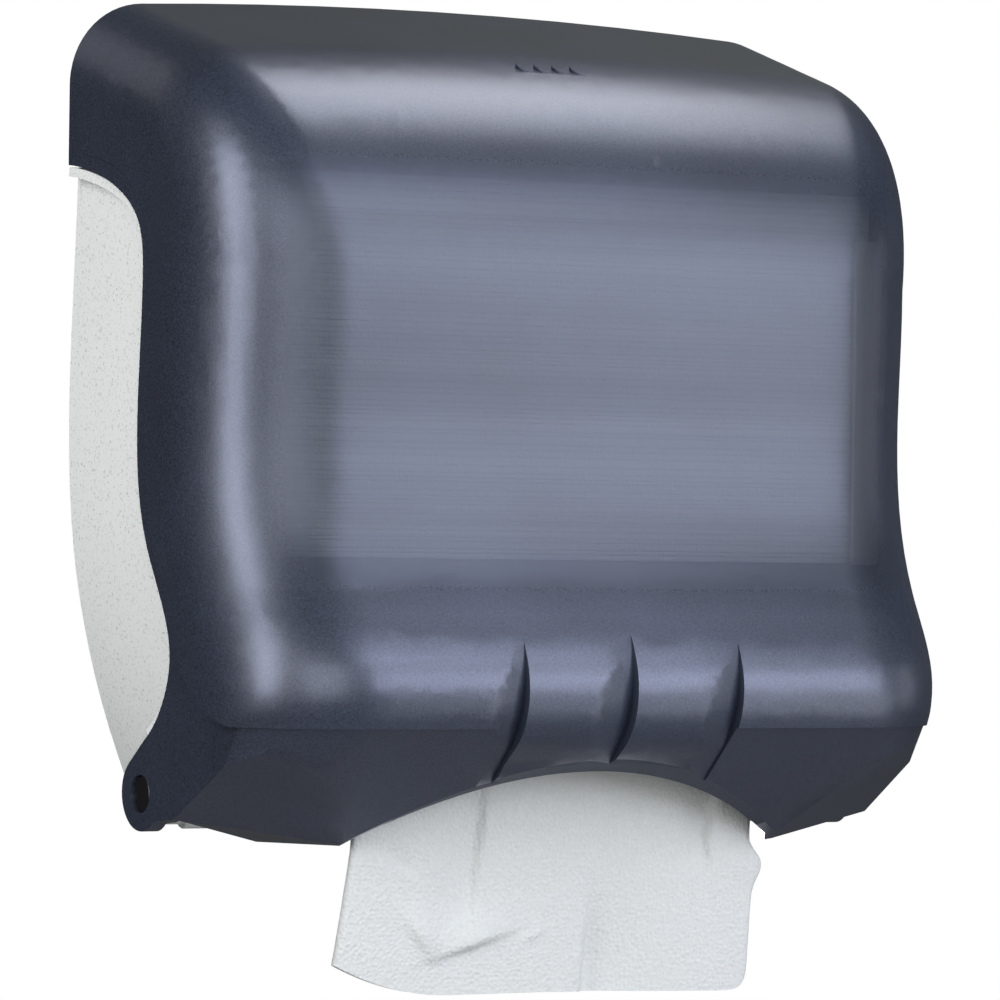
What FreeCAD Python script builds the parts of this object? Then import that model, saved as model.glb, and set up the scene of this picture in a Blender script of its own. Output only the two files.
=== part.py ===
"""Surface-mounted multifold towel dispenser: smoked hinged cover on a speckled chassis.

Row frame, millimetres: X to the viewer's right, Y towards the wall (wall plane at Y = 0, the
front looks along -Y), Z up. The origin is the centre of the wall-screw pattern on the back.
A depth is a distance in front of the wall, so a point at depth D has Y = -D.
"""

import FreeCAD
import Part
import math
import os
from FreeCAD import Vector

os.makedirs("parts", exist_ok=True)

# Driving sizes: rear edge and half width of the cover, depth of its bulge, half the towel's width
RIM_DEPTH = 4.2
RIM_HALF_WIDTH = 146.0
BULGE_DEPTH = 152.6
SHEET_HALF_WIDTH = 79.5

# Cover: overall shape
SIDE_DRAFT = 0.048
COVER_WALL = 2.5
TOP_SLOPE_DEG = 16.4
SHOULDER_RADIUS = 84.0
SHOULDER_FRONT_DEPTH = BULGE_DEPTH - 24.6
SHOULDER_HEIGHT = 49.5
TOP_CROWN = 5.5
FRONT_CROWN = TOP_CROWN
TOP_CORNER_RADIUS = 29.0
FRONT_CORNER_RADIUS = 51.0

# Cover: front profile below the shoulder, as height and depth, set back from the bulge
NECK_HEIGHT = 36.0
NECK_DEPTH = BULGE_DEPTH - 24.9
WAIST_HEIGHT = -8.0
WAIST_DEPTH = BULGE_DEPTH - 26.8
HOLLOW_HEIGHT = -40.0
HOLLOW_DEPTH = BULGE_DEPTH - 22.0
SWELL_HEIGHT = -60.0
SWELL_DEPTH = BULGE_DEPTH - 13.4
BREAST_HEIGHT = -73.5
BREAST_DEPTH = BULGE_DEPTH - 5.4
BULGE_HEIGHT = -90.5
TUCK_HEIGHT = -98.0
TUCK_DEPTH = BULGE_DEPTH - 1.0
CREASE_HEIGHT = -104.0
CREASE_DEPTH = BULGE_DEPTH - 3.4
JAW_HEIGHT = -114.0
JAW_DEPTH = BULGE_DEPTH - 14.0
CHIN_HEIGHT = -122.0
CHIN_DEPTH = BULGE_DEPTH - 24.2
FRONT_SECTIONS = 24

# Cover: towel arch, in plan
ARCH_HALF_WIDTH = SHEET_HALF_WIDTH + 1.5
ARCH_END_DEPTH = BULGE_DEPTH - 51.6
ARCH_APEX_DEPTH = BULGE_DEPTH - 28.6

# Cover: underside below the crease; the panels through three points as half width, depth, height
CREASE_STEP = 1.2
KEEL_HEIGHT = -150.0
KEEL_DEPTH = BULGE_DEPTH - 54.1
KEEL_CORNER_RADIUS = 22.0
PANEL_FRONT = (RIM_HALF_WIDTH - 22.0, BULGE_DEPTH - 31.1, -115.5)
PANEL_ARCH = (ARCH_HALF_WIDTH, ARCH_END_DEPTH, -145.0)
PANEL_REAR = (RIM_HALF_WIDTH - 9.4, 78.0, -136.5)
PANEL_HEEL = (RIM_HALF_WIDTH - 46.0, 66.0, -145.0)

# Cover: arch lip band, in front view and its slope backwards
LIP_TOP = -119.3
LIP_DROP = 9.0
LIP_DROP_HALF_WIDTH = 62.0
LIP_SLOPE = 0.34

# Cover: side cut-out edge in side view, as depth and height, rear to hinge
CUT_REAR = (RIM_DEPTH, 87.2)
CUT_LEDGE = (36.0, 79.0)
CUT_CORNER = (54.6, 63.5)
CUT_NECK = (56.6, 46.0)
CUT_WAIST = (52.8, -3.5)
CUT_LOWER = (59.1, -44.2)
CUT_BELLY = (74.9, -84.5)
CUT_TURN = (69.5, -98.5)
CUT_TAIL = (57.8, -110.4)

# Hinge axis
HINGE_DEPTH = 55.0
HINGE_HEIGHT = -128.8

# Cover: flat flank round the cut-out, a plane through three points as x, depth, height
FLANK_RIM = (RIM_HALF_WIDTH, RIM_DEPTH, 90.0)
FLANK_NECK = (RIM_HALF_WIDTH - 5.8, 66.0, 40.0)
FLANK_HINGE = (RIM_HALF_WIDTH - 7.3, HINGE_DEPTH - 1, HINGE_HEIGHT)
LAND_REAR = (RIM_DEPTH, 91.7)
LAND_LEDGE = (38.0, 85.5)
LAND_CORNER = (57.5, 74.0)
LAND_NECK = (65.5, 54.0)
LAND_WAIST = (63.4, -2.0)
LAND_LOWER = (70.0, -42.0)
LAND_SWELL = (85.0, -73.5)
LAND_BREAST = (BULGE_DEPTH - 48.6, -97.0)
LAND_FRONT = (BULGE_DEPTH - 19.6, -104.5)
PLATE_WALL = 3.0

# Cover: three ribs on the bulge, each a ramp that ends in a step; the outer ones bound the chin
RIB_PITCH = 41.4
CHIN_HALF_WIDTH = RIB_PITCH
RIB_RAMP = 24.0
RAMP_TOP = (BULGE_DEPTH - 6.0, -68.0)
RAMP_MIDDLE = (BULGE_DEPTH + 2.9, -90.0)
RAMP_FOOT = (BULGE_DEPTH - 5.3, -110.5)
RAMP_END = (BULGE_DEPTH - 23.8, -124.0)
STEP_TOP = (BULGE_DEPTH - 8.0, -68.5)
STEP_MIDDLE = (BULGE_DEPTH - 3.6, -89.0)
STEP_FOOT = (BULGE_DEPTH - 13.4, -110.5)
STEP_END = (BULGE_DEPTH - 28.4, -124.0)
RIB_BACKING = 1.3

# Cover: four toothed grips on the top front centre, each a wedge whose floor fades out forwards
GRIP_COUNT = 4
GRIP_PITCH = 7.1
GRIP_RUN = 3.8
GRIP_REAR_DEPTH = BULGE_DEPTH - 70.1
GRIP_TOOTH_DEPTH = 6.2
GRIP_CUT = 1.3

# Hinge: boss, pin and clip
HINGE_BOSS_RADIUS = 12.8
HINGE_BOSS_INNER = RIM_HALF_WIDTH - 13.4
HINGE_PIN_RADIUS = 4.0
HINGE_HEAD_RADIUS = 6.2
HINGE_HEAD_THICKNESS = 2.2
HINGE_HEAD_SEAT = RIM_HALF_WIDTH - 10.0
HINGE_HEAD_CLEARANCE = 0.3
HINGE_CLIP_THICKNESS = 1.2
HINGE_CLIP_RADIUS = 7.0
RUNNING_FIT = 0.06
SEAT_GAP = 0.3
LUG_RADIUS = 10.5
LUG_OUTER = HINGE_BOSS_INNER - 0.4
LUG_INNER = LUG_OUTER - 11.4
HINGE_PIN_TIP = LUG_INNER - 2.2

# Chassis: back outline at the wall and mouth outline in front, as inset from the rim and height
PLATE_THICKNESS = 3.0
WALL_THICKNESS = 2.5
PLATE_TOP = 140.5
PLATE_TOP_HALF_WIDTH = RIM_HALF_WIDTH - 34.0
PLATE_SIDE = [(14.0, 126.0), (6.8, 104.0), (5.6, 84.0), (3.4, 0.0)]
PLATE_SIDE += [(6.0, -47.5), (12.2, -81.0), (23.8, -118.0)]
PLATE_FOOT_HALF_WIDTH = RIM_HALF_WIDTH - 33.0
MOUTH_DEPTH = 76.0
MOUTH_TOP = 117.0
MOUTH_TOP_HALF_WIDTH = RIM_HALF_WIDTH - 40.0
MOUTH_SIDE = [(24.0, 108.0), (15.0, 90.0), (12.5, 70.0), (12.0, 0.0)]
MOUTH_SIDE += [(13.0, -47.5), (14.5, -81.0), (16.0, -118.0)]
MOUTH_FOOT_HALF_WIDTH = RIM_HALF_WIDTH - 20.0
SHELL_FOOT = -142.0

# Chassis: side view of the walls, the floor and the flange behind the cover's edge
WALL_REACH = 7.0
WALL_TOP_DEPTH = 34.0
WALL_TOP_HEIGHT = 96.0
FLOOR_HEIGHT = -128.0
FLOOR_RISE_DEPTH = 36.0
HINGE_ROLL_RADIUS = 12.0
FLANGE_GAP = 0.7
FLANGE_THICKNESS = 3.2
FLANGE_RIM = (RIM_HALF_WIDTH - 0.4, RIM_DEPTH, 84.0)
FLANGE_NECK = (RIM_HALF_WIDTH - 7.6, 58.0, 46.0)
FLANGE_TOE = (RIM_HALF_WIDTH - 10.6, 70.0, -84.0)

# Chassis: wall screw holes, ribs behind the stack, ledges below the shelf
SCREW_SPACING_X = 180.0
SCREW_SPACING_Z = 200.0
SCREW_HOLE_RADIUS = 2.75
SCREW_PAD_RADIUS = 8.0
SCREW_PAD_HEIGHT = 2.0
RIB_THICKNESS = 2.5
RIB_PLACES = (-66.0, -22.0, 22.0, 66.0)
RIB_TOP_HEIGHT = 76.0
LEDGE_INNER = RIM_HALF_WIDTH - 24.5
LEDGE_HEIGHT = 6.0
LEDGE_FRONT = 64.0

# Towel stack
STACK_HALF_WIDTH = RIM_HALF_WIDTH - 28.0
STACK_REAR = 24.5
STACK_FRONT = BULGE_DEPTH - 46.1
STACK_TOP = 82.0
STACK_CORNER = 4.0

# Shelf that carries the stack, with its throat
SHELF_TOP = -48.0
SHELF_THICKNESS = 3.0
SHELF_REAR = 3.3
SHELF_FRONT = BULGE_DEPTH - 28.6
SHELF_HALF_WIDTH = RIM_HALF_WIDTH - 17.5
SHELF_CORNER = 40.0
SHELF_LIP_HEIGHT = 10.0
SHELF_LIP_WALL = 2.5
SHELF_LIP_REAR = 68.0
THROAT_HALF_WIDTH = SHEET_HALF_WIDTH + 6.5
THROAT_REAR = 46.0
THROAT_FRONT = ARCH_END_DEPTH + 2.0
THROAT_CORNER = 12.0
THROAT_COLLAR = 7.0
SHELF_SCREW_DEPTHS = (14.0, 54.0)
SHELF_SCREW_X = RIM_HALF_WIDTH - 20.8

# Hanging towel
SHEET_THICKNESS = 1.2
SHEET_DEPTH = ARCH_END_DEPTH - 4.5
SHEET_FOOT_DEPTH = SHEET_DEPTH - 6.5
SHEET_FOOT = -197.0
SHEET_FOLDS = 6
SHEET_TOP_FOLD = 1.2
SHEET_FOOT_FOLD = 3.0

# Side guides beside the stack
GUIDE_GAP = 1.2
GUIDE_THICKNESS = 2.0
GUIDE_TOP = 66.0
GUIDE_REAR = 24.0
GUIDE_LIP = 10.0
GUIDE_FOOT_OUTER = SHELF_HALF_WIDTH - 0.5
GUIDE_FOOT_REAR = 66.0
GUIDE_FOOT_FRONT = 90.0
GUIDE_SCREW_DEPTHS = (71.0, 85.0)
GUIDE_SCREW_X = SHELF_HALF_WIDTH - 3.5

# Small screws of the shelf, the guides, the keeper and the catch
SCREW_RADIUS = 1.5
SCREW_HEAD_RADIUS = 3.0
SCREW_HEAD_HEIGHT = 1.8
SCREW_LENGTH = 7.0
SCREW_BOSS_RADIUS = 3.6
SCREW_FIT = 0.05
RECESS_WIDTH = 0.8
RECESS_LENGTH = 3.4
RECESS_DEPTH = 0.9

# Bolt lock: sliding bolt, its keeper on the back plate and the eye in the cover's catch
BOLT_REAR = 6.5
BOLT_FRONT = 11.5
BOLT_FOOT = 118.0
BOLT_TOP = 124.0
BOLT_LEFT = -19.0
BOLT_RIGHT = 14.0
BOLT_TRAVEL = 7.0
BOLT_FIT = 0.15
TAB_CENTRE = -3.5
TAB_HALF_WIDTH = 5.0
TAB_REAR = 0.5
TAB_FRONT = 2.7
TAB_TOP = 137.0
TAB_SLOT_WIDTH = 3.0
TAB_SLOT_DEPTH = 5.0
NOTCH_HALF_WIDTH = 10.0
NOTCH_FOOT = 117.0
KEEPER_HALF_WIDTH = 13.5
KEEPER_FRONT = 14.5
KEEPER_FOOT = 106.0
KEEPER_TOP = 127.5
KEEPER_EAR = 11.0
KEEPER_EAR_THICKNESS = 3.0
KEEPER_SCREW_X = 19.5
KEEPER_SCREW_HEIGHT = 109.6
CATCH_INNER = 15.5
CATCH_THICKNESS = 2.0
CATCH_REAR = 4.6
CATCH_FRONT = 16.0
CATCH_FOOT = 114.0
CATCH_FLANGE = 20.0
CATCH_DROP = 5.0
CATCH_FLANGE_FRONT = 24.0
EYE_CLEARANCE = 1.0
CATCH_SCREW_SPACING = 10.0
CATCH_BOSS_RADIUS = 3.8
CATCH_BAY_MARGIN = 4.0

# Rubber stops in the shelf's front lip that the closed cover rests against
STOP_X = 60.0
STOP_DROP = 8.0
STOP_RADIUS = 4.0
STOP_FRONT = BULGE_DEPTH - 21.2
STOP_STEM_RADIUS = 2.0
STOP_BULB_RADIUS = 2.8
STOP_BULB_LENGTH = 2.0


def at(x, depth, z):
    """Return the point at x, a depth in front of the wall, and height z."""
    return Vector(x, -depth, z)


def side_point(x, pair):
    """Return the point of a side view (depth, height) in the plane at x."""
    return at(x, pair[0], pair[1])


def line(a, b):
    """Return a straight edge."""
    return Part.LineSegment(a, b).toShape()


def arc(a, middle, b):
    """Return an arc edge through three points."""
    return Part.Arc(a, middle, b).toShape()


def spline(points):
    """Return one smooth edge through the points."""
    curve = Part.BSplineCurve()
    curve.interpolate(points)
    return curve.toShape()


def outline(points):
    """Return a closed wire of straight edges."""
    return Part.makePolygon(points + [points[0]])


def slab(wire, direction):
    """Return the prism of a closed flat wire."""
    return Part.Face(wire).extrude(direction)


def block(x0, x1, d0, d1, z0, z1):
    """Return a box between two depths."""
    return Part.makeBox(x1 - x0, d1 - d0, z1 - z0, at(x0, d1, z0))


def rod(radius, length, start, direction):
    """Return a cylinder."""
    return Part.makeCylinder(radius, length, start, direction)


def half_width(depth, inset):
    """Return the cover's half width at a depth, an inset inside the outer face."""
    return RIM_HALF_WIDTH - SIDE_DRAFT * (depth - RIM_DEPTH) - inset


# The widest box that any cutter needs round the cover
REACH = 400.0
CROWN_RADIUS = RIM_HALF_WIDTH ** 2 / (2 * FRONT_CROWN)


def shoulder_section(x, inset):
    """Return the closed side outline of the cover's upper half at x."""
    slope = math.radians(TOP_SLOPE_DEG)
    drop = inset + TOP_CROWN * (x / RIM_HALF_WIDTH) ** 2
    radius = SHOULDER_RADIUS - drop
    centre = SHOULDER_FRONT_DEPTH - SHOULDER_RADIUS
    turn = math.pi / 2 - slope

    def on_arc(angle):
        depth = centre + radius * math.cos(angle)
        return at(x, depth, SHOULDER_HEIGHT + radius * math.sin(angle))

    knee = on_arc(turn)
    front = on_arc(0)
    run = -knee.y + RIM_DEPTH
    rear = at(x, -RIM_DEPTH, knee.z + run * math.tan(slope))
    foot = at(x, -front.y, SHOULDER_HEIGHT - 1)
    heel = at(x, -RIM_DEPTH, SHOULDER_HEIGHT - 1)
    edges = [line(rear, knee), arc(knee, on_arc(turn / 2), front)]
    edges += [line(front, foot), line(foot, heel), line(heel, rear)]
    return Part.Wire(edges)


def upper_body(inset):
    """Return the upper half of the cover's outer form, an inset inside it."""
    stations = [-1.1, -0.55, 0.0, 0.55, 1.1]
    roof = Part.makeLoft([shoulder_section(s * RIM_HALF_WIDTH, inset) for s in stations], True)
    near = half_width(RIM_DEPTH, inset)
    far = half_width(REACH, inset)
    top = REACH
    wires = []
    for depth, half in ((RIM_DEPTH, near), (REACH, far)):
        low = SHOULDER_HEIGHT
        corners = [at(-half, depth, low), at(half, depth, low)]
        corners += [at(half, depth, top), at(-half, depth, top)]
        wires.append(outline(corners))
    body = roof.common(Part.makeLoft(wires, True, True))
    side_edges = []
    for edge in body.Edges:
        middle = edge.valueAt((edge.FirstParameter + edge.LastParameter) / 2)
        outside = abs(middle.x) > half_width(-middle.y, inset) - 1.0
        inside_span = -middle.y > RIM_DEPTH + 1 and middle.z > SHOULDER_HEIGHT + 1
        if outside and inside_span:
            side_edges.append(edge)
    return body.makeFillet(FRONT_CORNER_RADIUS - inset, TOP_CORNER_RADIUS - inset, side_edges)


def plan_section(z, depth, radius, inset):
    """Return the closed plan outline of the cover at height z, front at the given depth."""
    front = depth - inset
    corner = radius - inset
    slope = math.atan(SIDE_DRAFT)
    rear_half = half_width(RIM_DEPTH, inset)
    crown_centre = front - CROWN_RADIUS

    # The corner's centre lies one radius inside the drafted side and inside the crowned front
    reach = CROWN_RADIUS - corner
    low, high = 0.0, depth
    for _ in range(60):
        centre_depth = (low + high) / 2
        centre_x = half_width(centre_depth, inset) - corner / math.cos(slope)
        if math.hypot(centre_x, centre_depth - crown_centre) < reach:
            low = centre_depth
        else:
            high = centre_depth
    away = math.atan2(centre_x, centre_depth - crown_centre)
    side_x = centre_x + corner * math.cos(slope)
    side_depth = centre_depth + corner * math.sin(slope)
    front_x = CROWN_RADIUS * math.sin(away)
    front_depth = crown_centre + CROWN_RADIUS * math.cos(away)
    bisector = (slope + math.pi / 2 - away) / 2
    mid_x = centre_x + corner * math.cos(bisector)
    mid_depth = centre_depth + corner * math.sin(bisector)
    edges = [line(at(-rear_half, RIM_DEPTH, z), at(-side_x, side_depth, z))]
    corner_middle = at(-mid_x, mid_depth, z)
    edges.append(arc(at(-side_x, side_depth, z), corner_middle, at(-front_x, front_depth, z)))
    edges.append(arc(at(-front_x, front_depth, z), at(0, front, z), at(front_x, front_depth, z)))
    edges.append(arc(at(front_x, front_depth, z), at(mid_x, mid_depth, z), at(side_x, side_depth, z)))
    edges.append(line(at(side_x, side_depth, z), at(rear_half, RIM_DEPTH, z)))
    edges.append(line(at(rear_half, RIM_DEPTH, z), at(-rear_half, RIM_DEPTH, z)))
    return Part.Wire(edges)


def front_profile():
    """Return the smooth side view of the cover's front, from the shoulder down to the chin."""
    pairs = [(SHOULDER_FRONT_DEPTH, SHOULDER_HEIGHT), (NECK_DEPTH, NECK_HEIGHT)]
    pairs += [(WAIST_DEPTH, WAIST_HEIGHT), (HOLLOW_DEPTH, HOLLOW_HEIGHT)]
    pairs += [(SWELL_DEPTH, SWELL_HEIGHT), (BREAST_DEPTH, BREAST_HEIGHT)]
    pairs += [(BULGE_DEPTH, BULGE_HEIGHT), (TUCK_DEPTH, TUCK_HEIGHT)]
    pairs += [(CREASE_DEPTH, CREASE_HEIGHT), (JAW_DEPTH, JAW_HEIGHT), (CHIN_DEPTH, CHIN_HEIGHT)]
    points = [side_point(0, pair) for pair in pairs]
    foot = (points[-1] - points[-2]).normalize()
    curve = Part.BSplineCurve()
    curve.interpolate(Points=points, InitialTangent=Vector(0, 0, -1), FinalTangent=foot)
    return curve


def lower_body(upper, inset):
    """Return the waist and bulge of the cover's outer form, from the upper half's foot to the chin."""
    feet = [face for face in upper.Faces if face.BoundBox.ZMax < SHOULDER_HEIGHT + SEAT_GAP]
    wires = [feet[0].OuterWire]
    for point in front_profile().discretize(FRONT_SECTIONS + 1)[1:]:
        wires.append(plan_section(point.z, -point.y, FRONT_CORNER_RADIUS, inset))
    return Part.makeLoft(wires, True)


def under_body(inset):
    """Return the tapering form below the crease, an inset inside it."""
    side = CREASE_STEP + inset
    top = plan_section(CREASE_HEIGHT + inset, CREASE_DEPTH, FRONT_CORNER_RADIUS, side)
    foot = plan_section(KEEL_HEIGHT + inset, KEEL_DEPTH, KEEL_CORNER_RADIUS, side)
    return Part.makeLoft([top, foot], True, True)


def mirrored(shape):
    """Return the shape mirrored to the other side of the object."""
    return shape.mirror(Vector(0, 0, 0), Vector(1, 0, 0))


def beyond(points, outward, inset):
    """Return the left half of all that lies outwards of the plane of three points.

    The points are on the left side, as half width, depth and height. The plane is moved
    inwards by an inset.
    """
    corners = [at(-x, depth, z) for x, depth, z in points]
    normal = (corners[1] - corners[0]).cross(corners[2] - corners[0]).normalize()
    if normal.dot(outward) < 0:
        normal = normal * -1
    face = Part.Plane(corners[0] - normal * inset, normal).toShape(-REACH, REACH, -REACH, REACH)
    return face.extrude(normal * REACH).common(block(-REACH, 0, -REACH, REACH, -REACH, REACH))


def underside_cuts(inset):
    """Return the wedges cut away below the dark underside panels, an inset above their faces."""
    down = Vector(0, 0, -1)
    left = [beyond((PANEL_FRONT, PANEL_ARCH, PANEL_REAR), down, inset)]
    left.append(beyond((PANEL_HEEL, PANEL_ARCH, PANEL_REAR), down, inset))
    return left + [mirrored(shape) for shape in left]


def flank_cuts(inset):
    """Return the slices cut away outside the two flat flanks, an inset inside their faces."""
    left = beyond((FLANK_RIM, FLANK_NECK, FLANK_HINGE), Vector(-1, 0, 0), inset)
    left = left.common(land_prism(inset))
    return [left, mirrored(left)]


def arch_cut():
    """Return the prism that opens the underside for the towels, in plan."""
    rear = [at(ARCH_HALF_WIDTH, ARCH_END_DEPTH, 0)]
    rear.append(at(PANEL_HEEL[0], PANEL_HEEL[1], 0))
    side = PANEL_REAR[0] - PLATE_WALL
    rear.append(at(side, PANEL_REAR[1], 0))
    rear.append(at(side, -REACH, 0))
    other = [Vector(-p.x, p.y, 0) for p in rear]
    edges = [arc(other[0], at(0, ARCH_APEX_DEPTH, 0), rear[0])]
    edges += [line(a, b) for a, b in zip(rear, rear[1:])]
    edges.append(line(rear[-1], other[-1]))
    edges += [line(a, b) for a, b in zip(other[::-1], other[::-1][1:])]
    prism = slab(Part.Wire(edges), Vector(0, 0, REACH))
    prism.translate(Vector(0, 0, CREASE_HEIGHT - REACH))
    return prism


def lip_cut(inset):
    """Return the arch-shaped cutter below the pale lip band, an inset above its face."""
    half = LIP_DROP_HALF_WIDTH
    span = 2.0
    edge = at(-half * span, ARCH_APEX_DEPTH, LIP_TOP - LIP_DROP * span ** 2)
    other = Vector(-edge.x, edge.y, edge.z)
    points = []
    for share in (-span, -1.4, -0.9, -0.45, 0.0, 0.45, 0.9, 1.4, span):
        points.append(at(half * share, ARCH_APEX_DEPTH, LIP_TOP - LIP_DROP * share ** 2))
    low = LIP_TOP - REACH
    corners = [other, at(other.x, ARCH_APEX_DEPTH, low), at(edge.x, ARCH_APEX_DEPTH, low), edge]
    edges = [spline(points)] + [line(a, b) for a, b in zip(corners, corners[1:])]
    run = 60.0
    prism = slab(Part.Wire(edges), Vector(0, -2 * run, 2 * run * LIP_SLOPE))
    prism.translate(Vector(0, run, inset - run * LIP_SLOPE))
    return prism


def tangent_point(point, centre, radius, turn):
    """Return where a line from a side-view point touches a circle, on the side of the turn."""
    dx = point[0] - centre[0]
    dz = point[1] - centre[1]
    gap = math.hypot(dx, dz)
    angle = math.atan2(dz, dx) + turn * math.acos(radius / gap)
    return (centre[0] + radius * math.cos(angle), centre[1] + radius * math.sin(angle))


def cut_out_prism():
    """Return the cutter that opens both sides behind the cut-out edge, round the hinge boss."""
    x = -REACH
    points = [CUT_REAR, CUT_LEDGE, CUT_CORNER, CUT_NECK, CUT_WAIST]
    points += [CUT_LOWER, CUT_BELLY, CUT_TURN, CUT_TAIL]
    centre = (HINGE_DEPTH, HINGE_HEIGHT)
    upper = tangent_point(CUT_TAIL, centre, HINGE_BOSS_RADIUS, 1)
    corner = (PANEL_REAR[1], PANEL_REAR[2])
    lower = tangent_point(corner, centre, HINGE_BOSS_RADIUS, -1)
    back = (HINGE_DEPTH - HINGE_BOSS_RADIUS * 0.8, HINGE_HEIGHT - HINGE_BOSS_RADIUS * 0.6)
    edges = [spline([side_point(x, pair) for pair in points])]
    edges.append(line(side_point(x, CUT_TAIL), side_point(x, upper)))
    edges.append(arc(side_point(x, upper), side_point(x, back), side_point(x, lower)))
    rest = [lower, corner, (corner[0], -REACH), (-REACH, -REACH), (-REACH, CUT_REAR[1]), CUT_REAR]
    edges += [line(side_point(x, a), side_point(x, b)) for a, b in zip(rest, rest[1:])]
    prism = slab(Part.Wire(edges), Vector(2 * REACH, 0, 0))
    half = PANEL_REAR[0] - PLATE_WALL
    return prism.cut(block(-half, half, -2 * REACH, 2 * REACH, -2 * REACH, 2 * REACH))


def land_prism(grow):
    """Return the side-view region of the recessed land and flank, grown forwards."""
    x = -REACH
    points = [LAND_REAR, LAND_LEDGE, LAND_CORNER, LAND_NECK, LAND_WAIST]
    points += [LAND_LOWER, LAND_SWELL, LAND_BREAST, LAND_FRONT]
    points = [(depth + grow, z + grow / 2) for depth, z in points]
    edges = [spline([side_point(x, pair) for pair in points])]
    front, rear = points[-1], points[0]
    rest = [front, (front[0], -REACH), (-REACH, -REACH), (-REACH, rear[1]), rear]
    edges += [line(side_point(x, a), side_point(x, b)) for a, b in zip(rest, rest[1:])]
    return slab(Part.Wire(edges), Vector(2 * REACH, 0, 0))


def pillow(inset):
    """Return the cover's bulged form above the crease, and the chin between the ribs."""
    upper = upper_body(inset)
    lower = lower_body(upper, inset)
    for side in (-1, 1):
        x0, x1 = sorted((side * (CHIN_HALF_WIDTH - inset), side * REACH))
        lower = lower.cut(block(x0, x1, -REACH, REACH, -REACH, CREASE_HEIGHT + inset))
    return upper.fuse(lower)


def cover_form(inset):
    """Return the cover's whole form, an inset inside its outer faces."""
    form = pillow(inset).fuse(under_body(inset))
    for cutter in underside_cuts(inset) + flank_cuts(inset):
        form = form.cut(cutter)
    return form.cut(lip_cut(inset))


def rib_cuts():
    """Return the ramps that leave the three crescent steps on the bulge."""
    cutters = []
    for index in range(-1, 2):
        x = index * RIB_PITCH
        wires = []
        ramp = (RAMP_TOP, RAMP_MIDDLE, RAMP_FOOT, RAMP_END)
        step = (STEP_TOP, STEP_MIDDLE, STEP_FOOT, STEP_END)
        for across, profile in ((x - RIB_RAMP, ramp), (x, step)):
            ends = [side_point(across, pair) for pair in profile]
            far = [at(across, REACH, profile[3][1]), at(across, REACH, profile[0][1])]
            edges = [arc(ends[0], ends[1], ends[2]), line(ends[2], ends[3]), line(ends[3], far[0])]
            edges += [line(far[0], far[1]), line(far[1], ends[0])]
            wires.append(Part.Wire(edges))
        cutters.append(Part.makeLoft(wires, True, True))
    return cutters


def roof_height(x, depth, inset):
    """Return the height of the roof at x and a depth, an inset inside the outer face."""
    radius = SHOULDER_RADIUS - inset - TOP_CROWN * (x / RIM_HALF_WIDTH) ** 2
    centre = SHOULDER_FRONT_DEPTH - SHOULDER_RADIUS
    slope = math.radians(TOP_SLOPE_DEG)
    knee = centre + radius * math.sin(slope)
    if depth > knee:
        return SHOULDER_HEIGHT + math.sqrt(radius ** 2 - (depth - centre) ** 2)
    return SHOULDER_HEIGHT + radius * math.cos(slope) + (knee - depth) * math.tan(slope)


def grip_cuts():
    """Return the four wedges of the grips, deepest along their slanted rear edges."""
    cutters = []
    start = -(GRIP_PITCH * (GRIP_COUNT - 1) + GRIP_RUN) / 2
    for index in range(GRIP_COUNT):
        x = start + index * GRIP_PITCH
        foot = GRIP_REAR_DEPTH + GRIP_TOOTH_DEPTH
        plan = [(x, GRIP_REAR_DEPTH), (x + GRIP_RUN, foot), (x + GRIP_RUN - GRIP_PITCH, foot)]
        sunk = (GRIP_CUT, GRIP_CUT, 0.0)
        floor = [at(a, d, roof_height(a, d, cut)) for (a, d), cut in zip(plan, sunk)]
        normal = (floor[1] - floor[0]).cross(floor[2] - floor[0]).normalize()
        if normal.z < 0:
            normal = normal * -1
        over = Part.Plane(floor[0], normal).toShape(-REACH, REACH, -REACH, REACH)
        over = over.extrude(normal * REACH)
        low = min(point.z for point in floor) - 2 * GRIP_CUT
        prism = slab(outline([at(a, d, low) for a, d in plan]), Vector(0, 0, REACH))
        cutters.append(over.common(prism))
    return cutters


def both(shape):
    """Return the shape and its mirror image."""
    return [shape, mirrored(shape)]


def rounded_rectangle(half, rear, front, corner, z):
    """Return a closed plan wire with four equal corners."""
    k = corner * (1 - math.sqrt(0.5))
    turns = [((half - corner, front), (half - k, front - k), (half, front - corner))]
    turns.append(((half, rear + corner), (half - k, rear + k), (half - corner, rear)))
    turns.append(((corner - half, rear), (k - half, rear + k), (-half, rear + corner)))
    turns.append(((-half, front - corner), (k - half, front - k), (corner - half, front)))
    edges = []
    for index, (a, middle, b) in enumerate(turns):
        edges.append(arc(at(a[0], a[1], z), at(middle[0], middle[1], z), at(b[0], b[1], z)))
        following = turns[(index + 1) % len(turns)][0]
        edges.append(line(at(b[0], b[1], z), at(following[0], following[1], z)))
    return Part.Wire(edges)


def screw(start, direction):
    """Return a small screw: its head's seat at the start, its shank along the direction."""
    head = rod(SCREW_HEAD_RADIUS, SCREW_HEAD_HEIGHT, start, direction * -1)
    shank = rod(SCREW_RADIUS, SCREW_LENGTH, start, direction)
    body = head.fuse(shank)
    turn = FreeCAD.Rotation(Vector(0, 0, 1), direction * -1)
    half, width = RECESS_LENGTH / 2, RECESS_WIDTH / 2
    for a, b in ((half, width), (width, half)):
        floor = Vector(-a, -b, SCREW_HEAD_HEIGHT - RECESS_DEPTH)
        bar = Part.makeBox(2 * a, 2 * b, 2 * RECESS_DEPTH, floor)
        bar.Placement = FreeCAD.Placement(start, turn)
        body = body.cut(bar)
    return body


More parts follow.
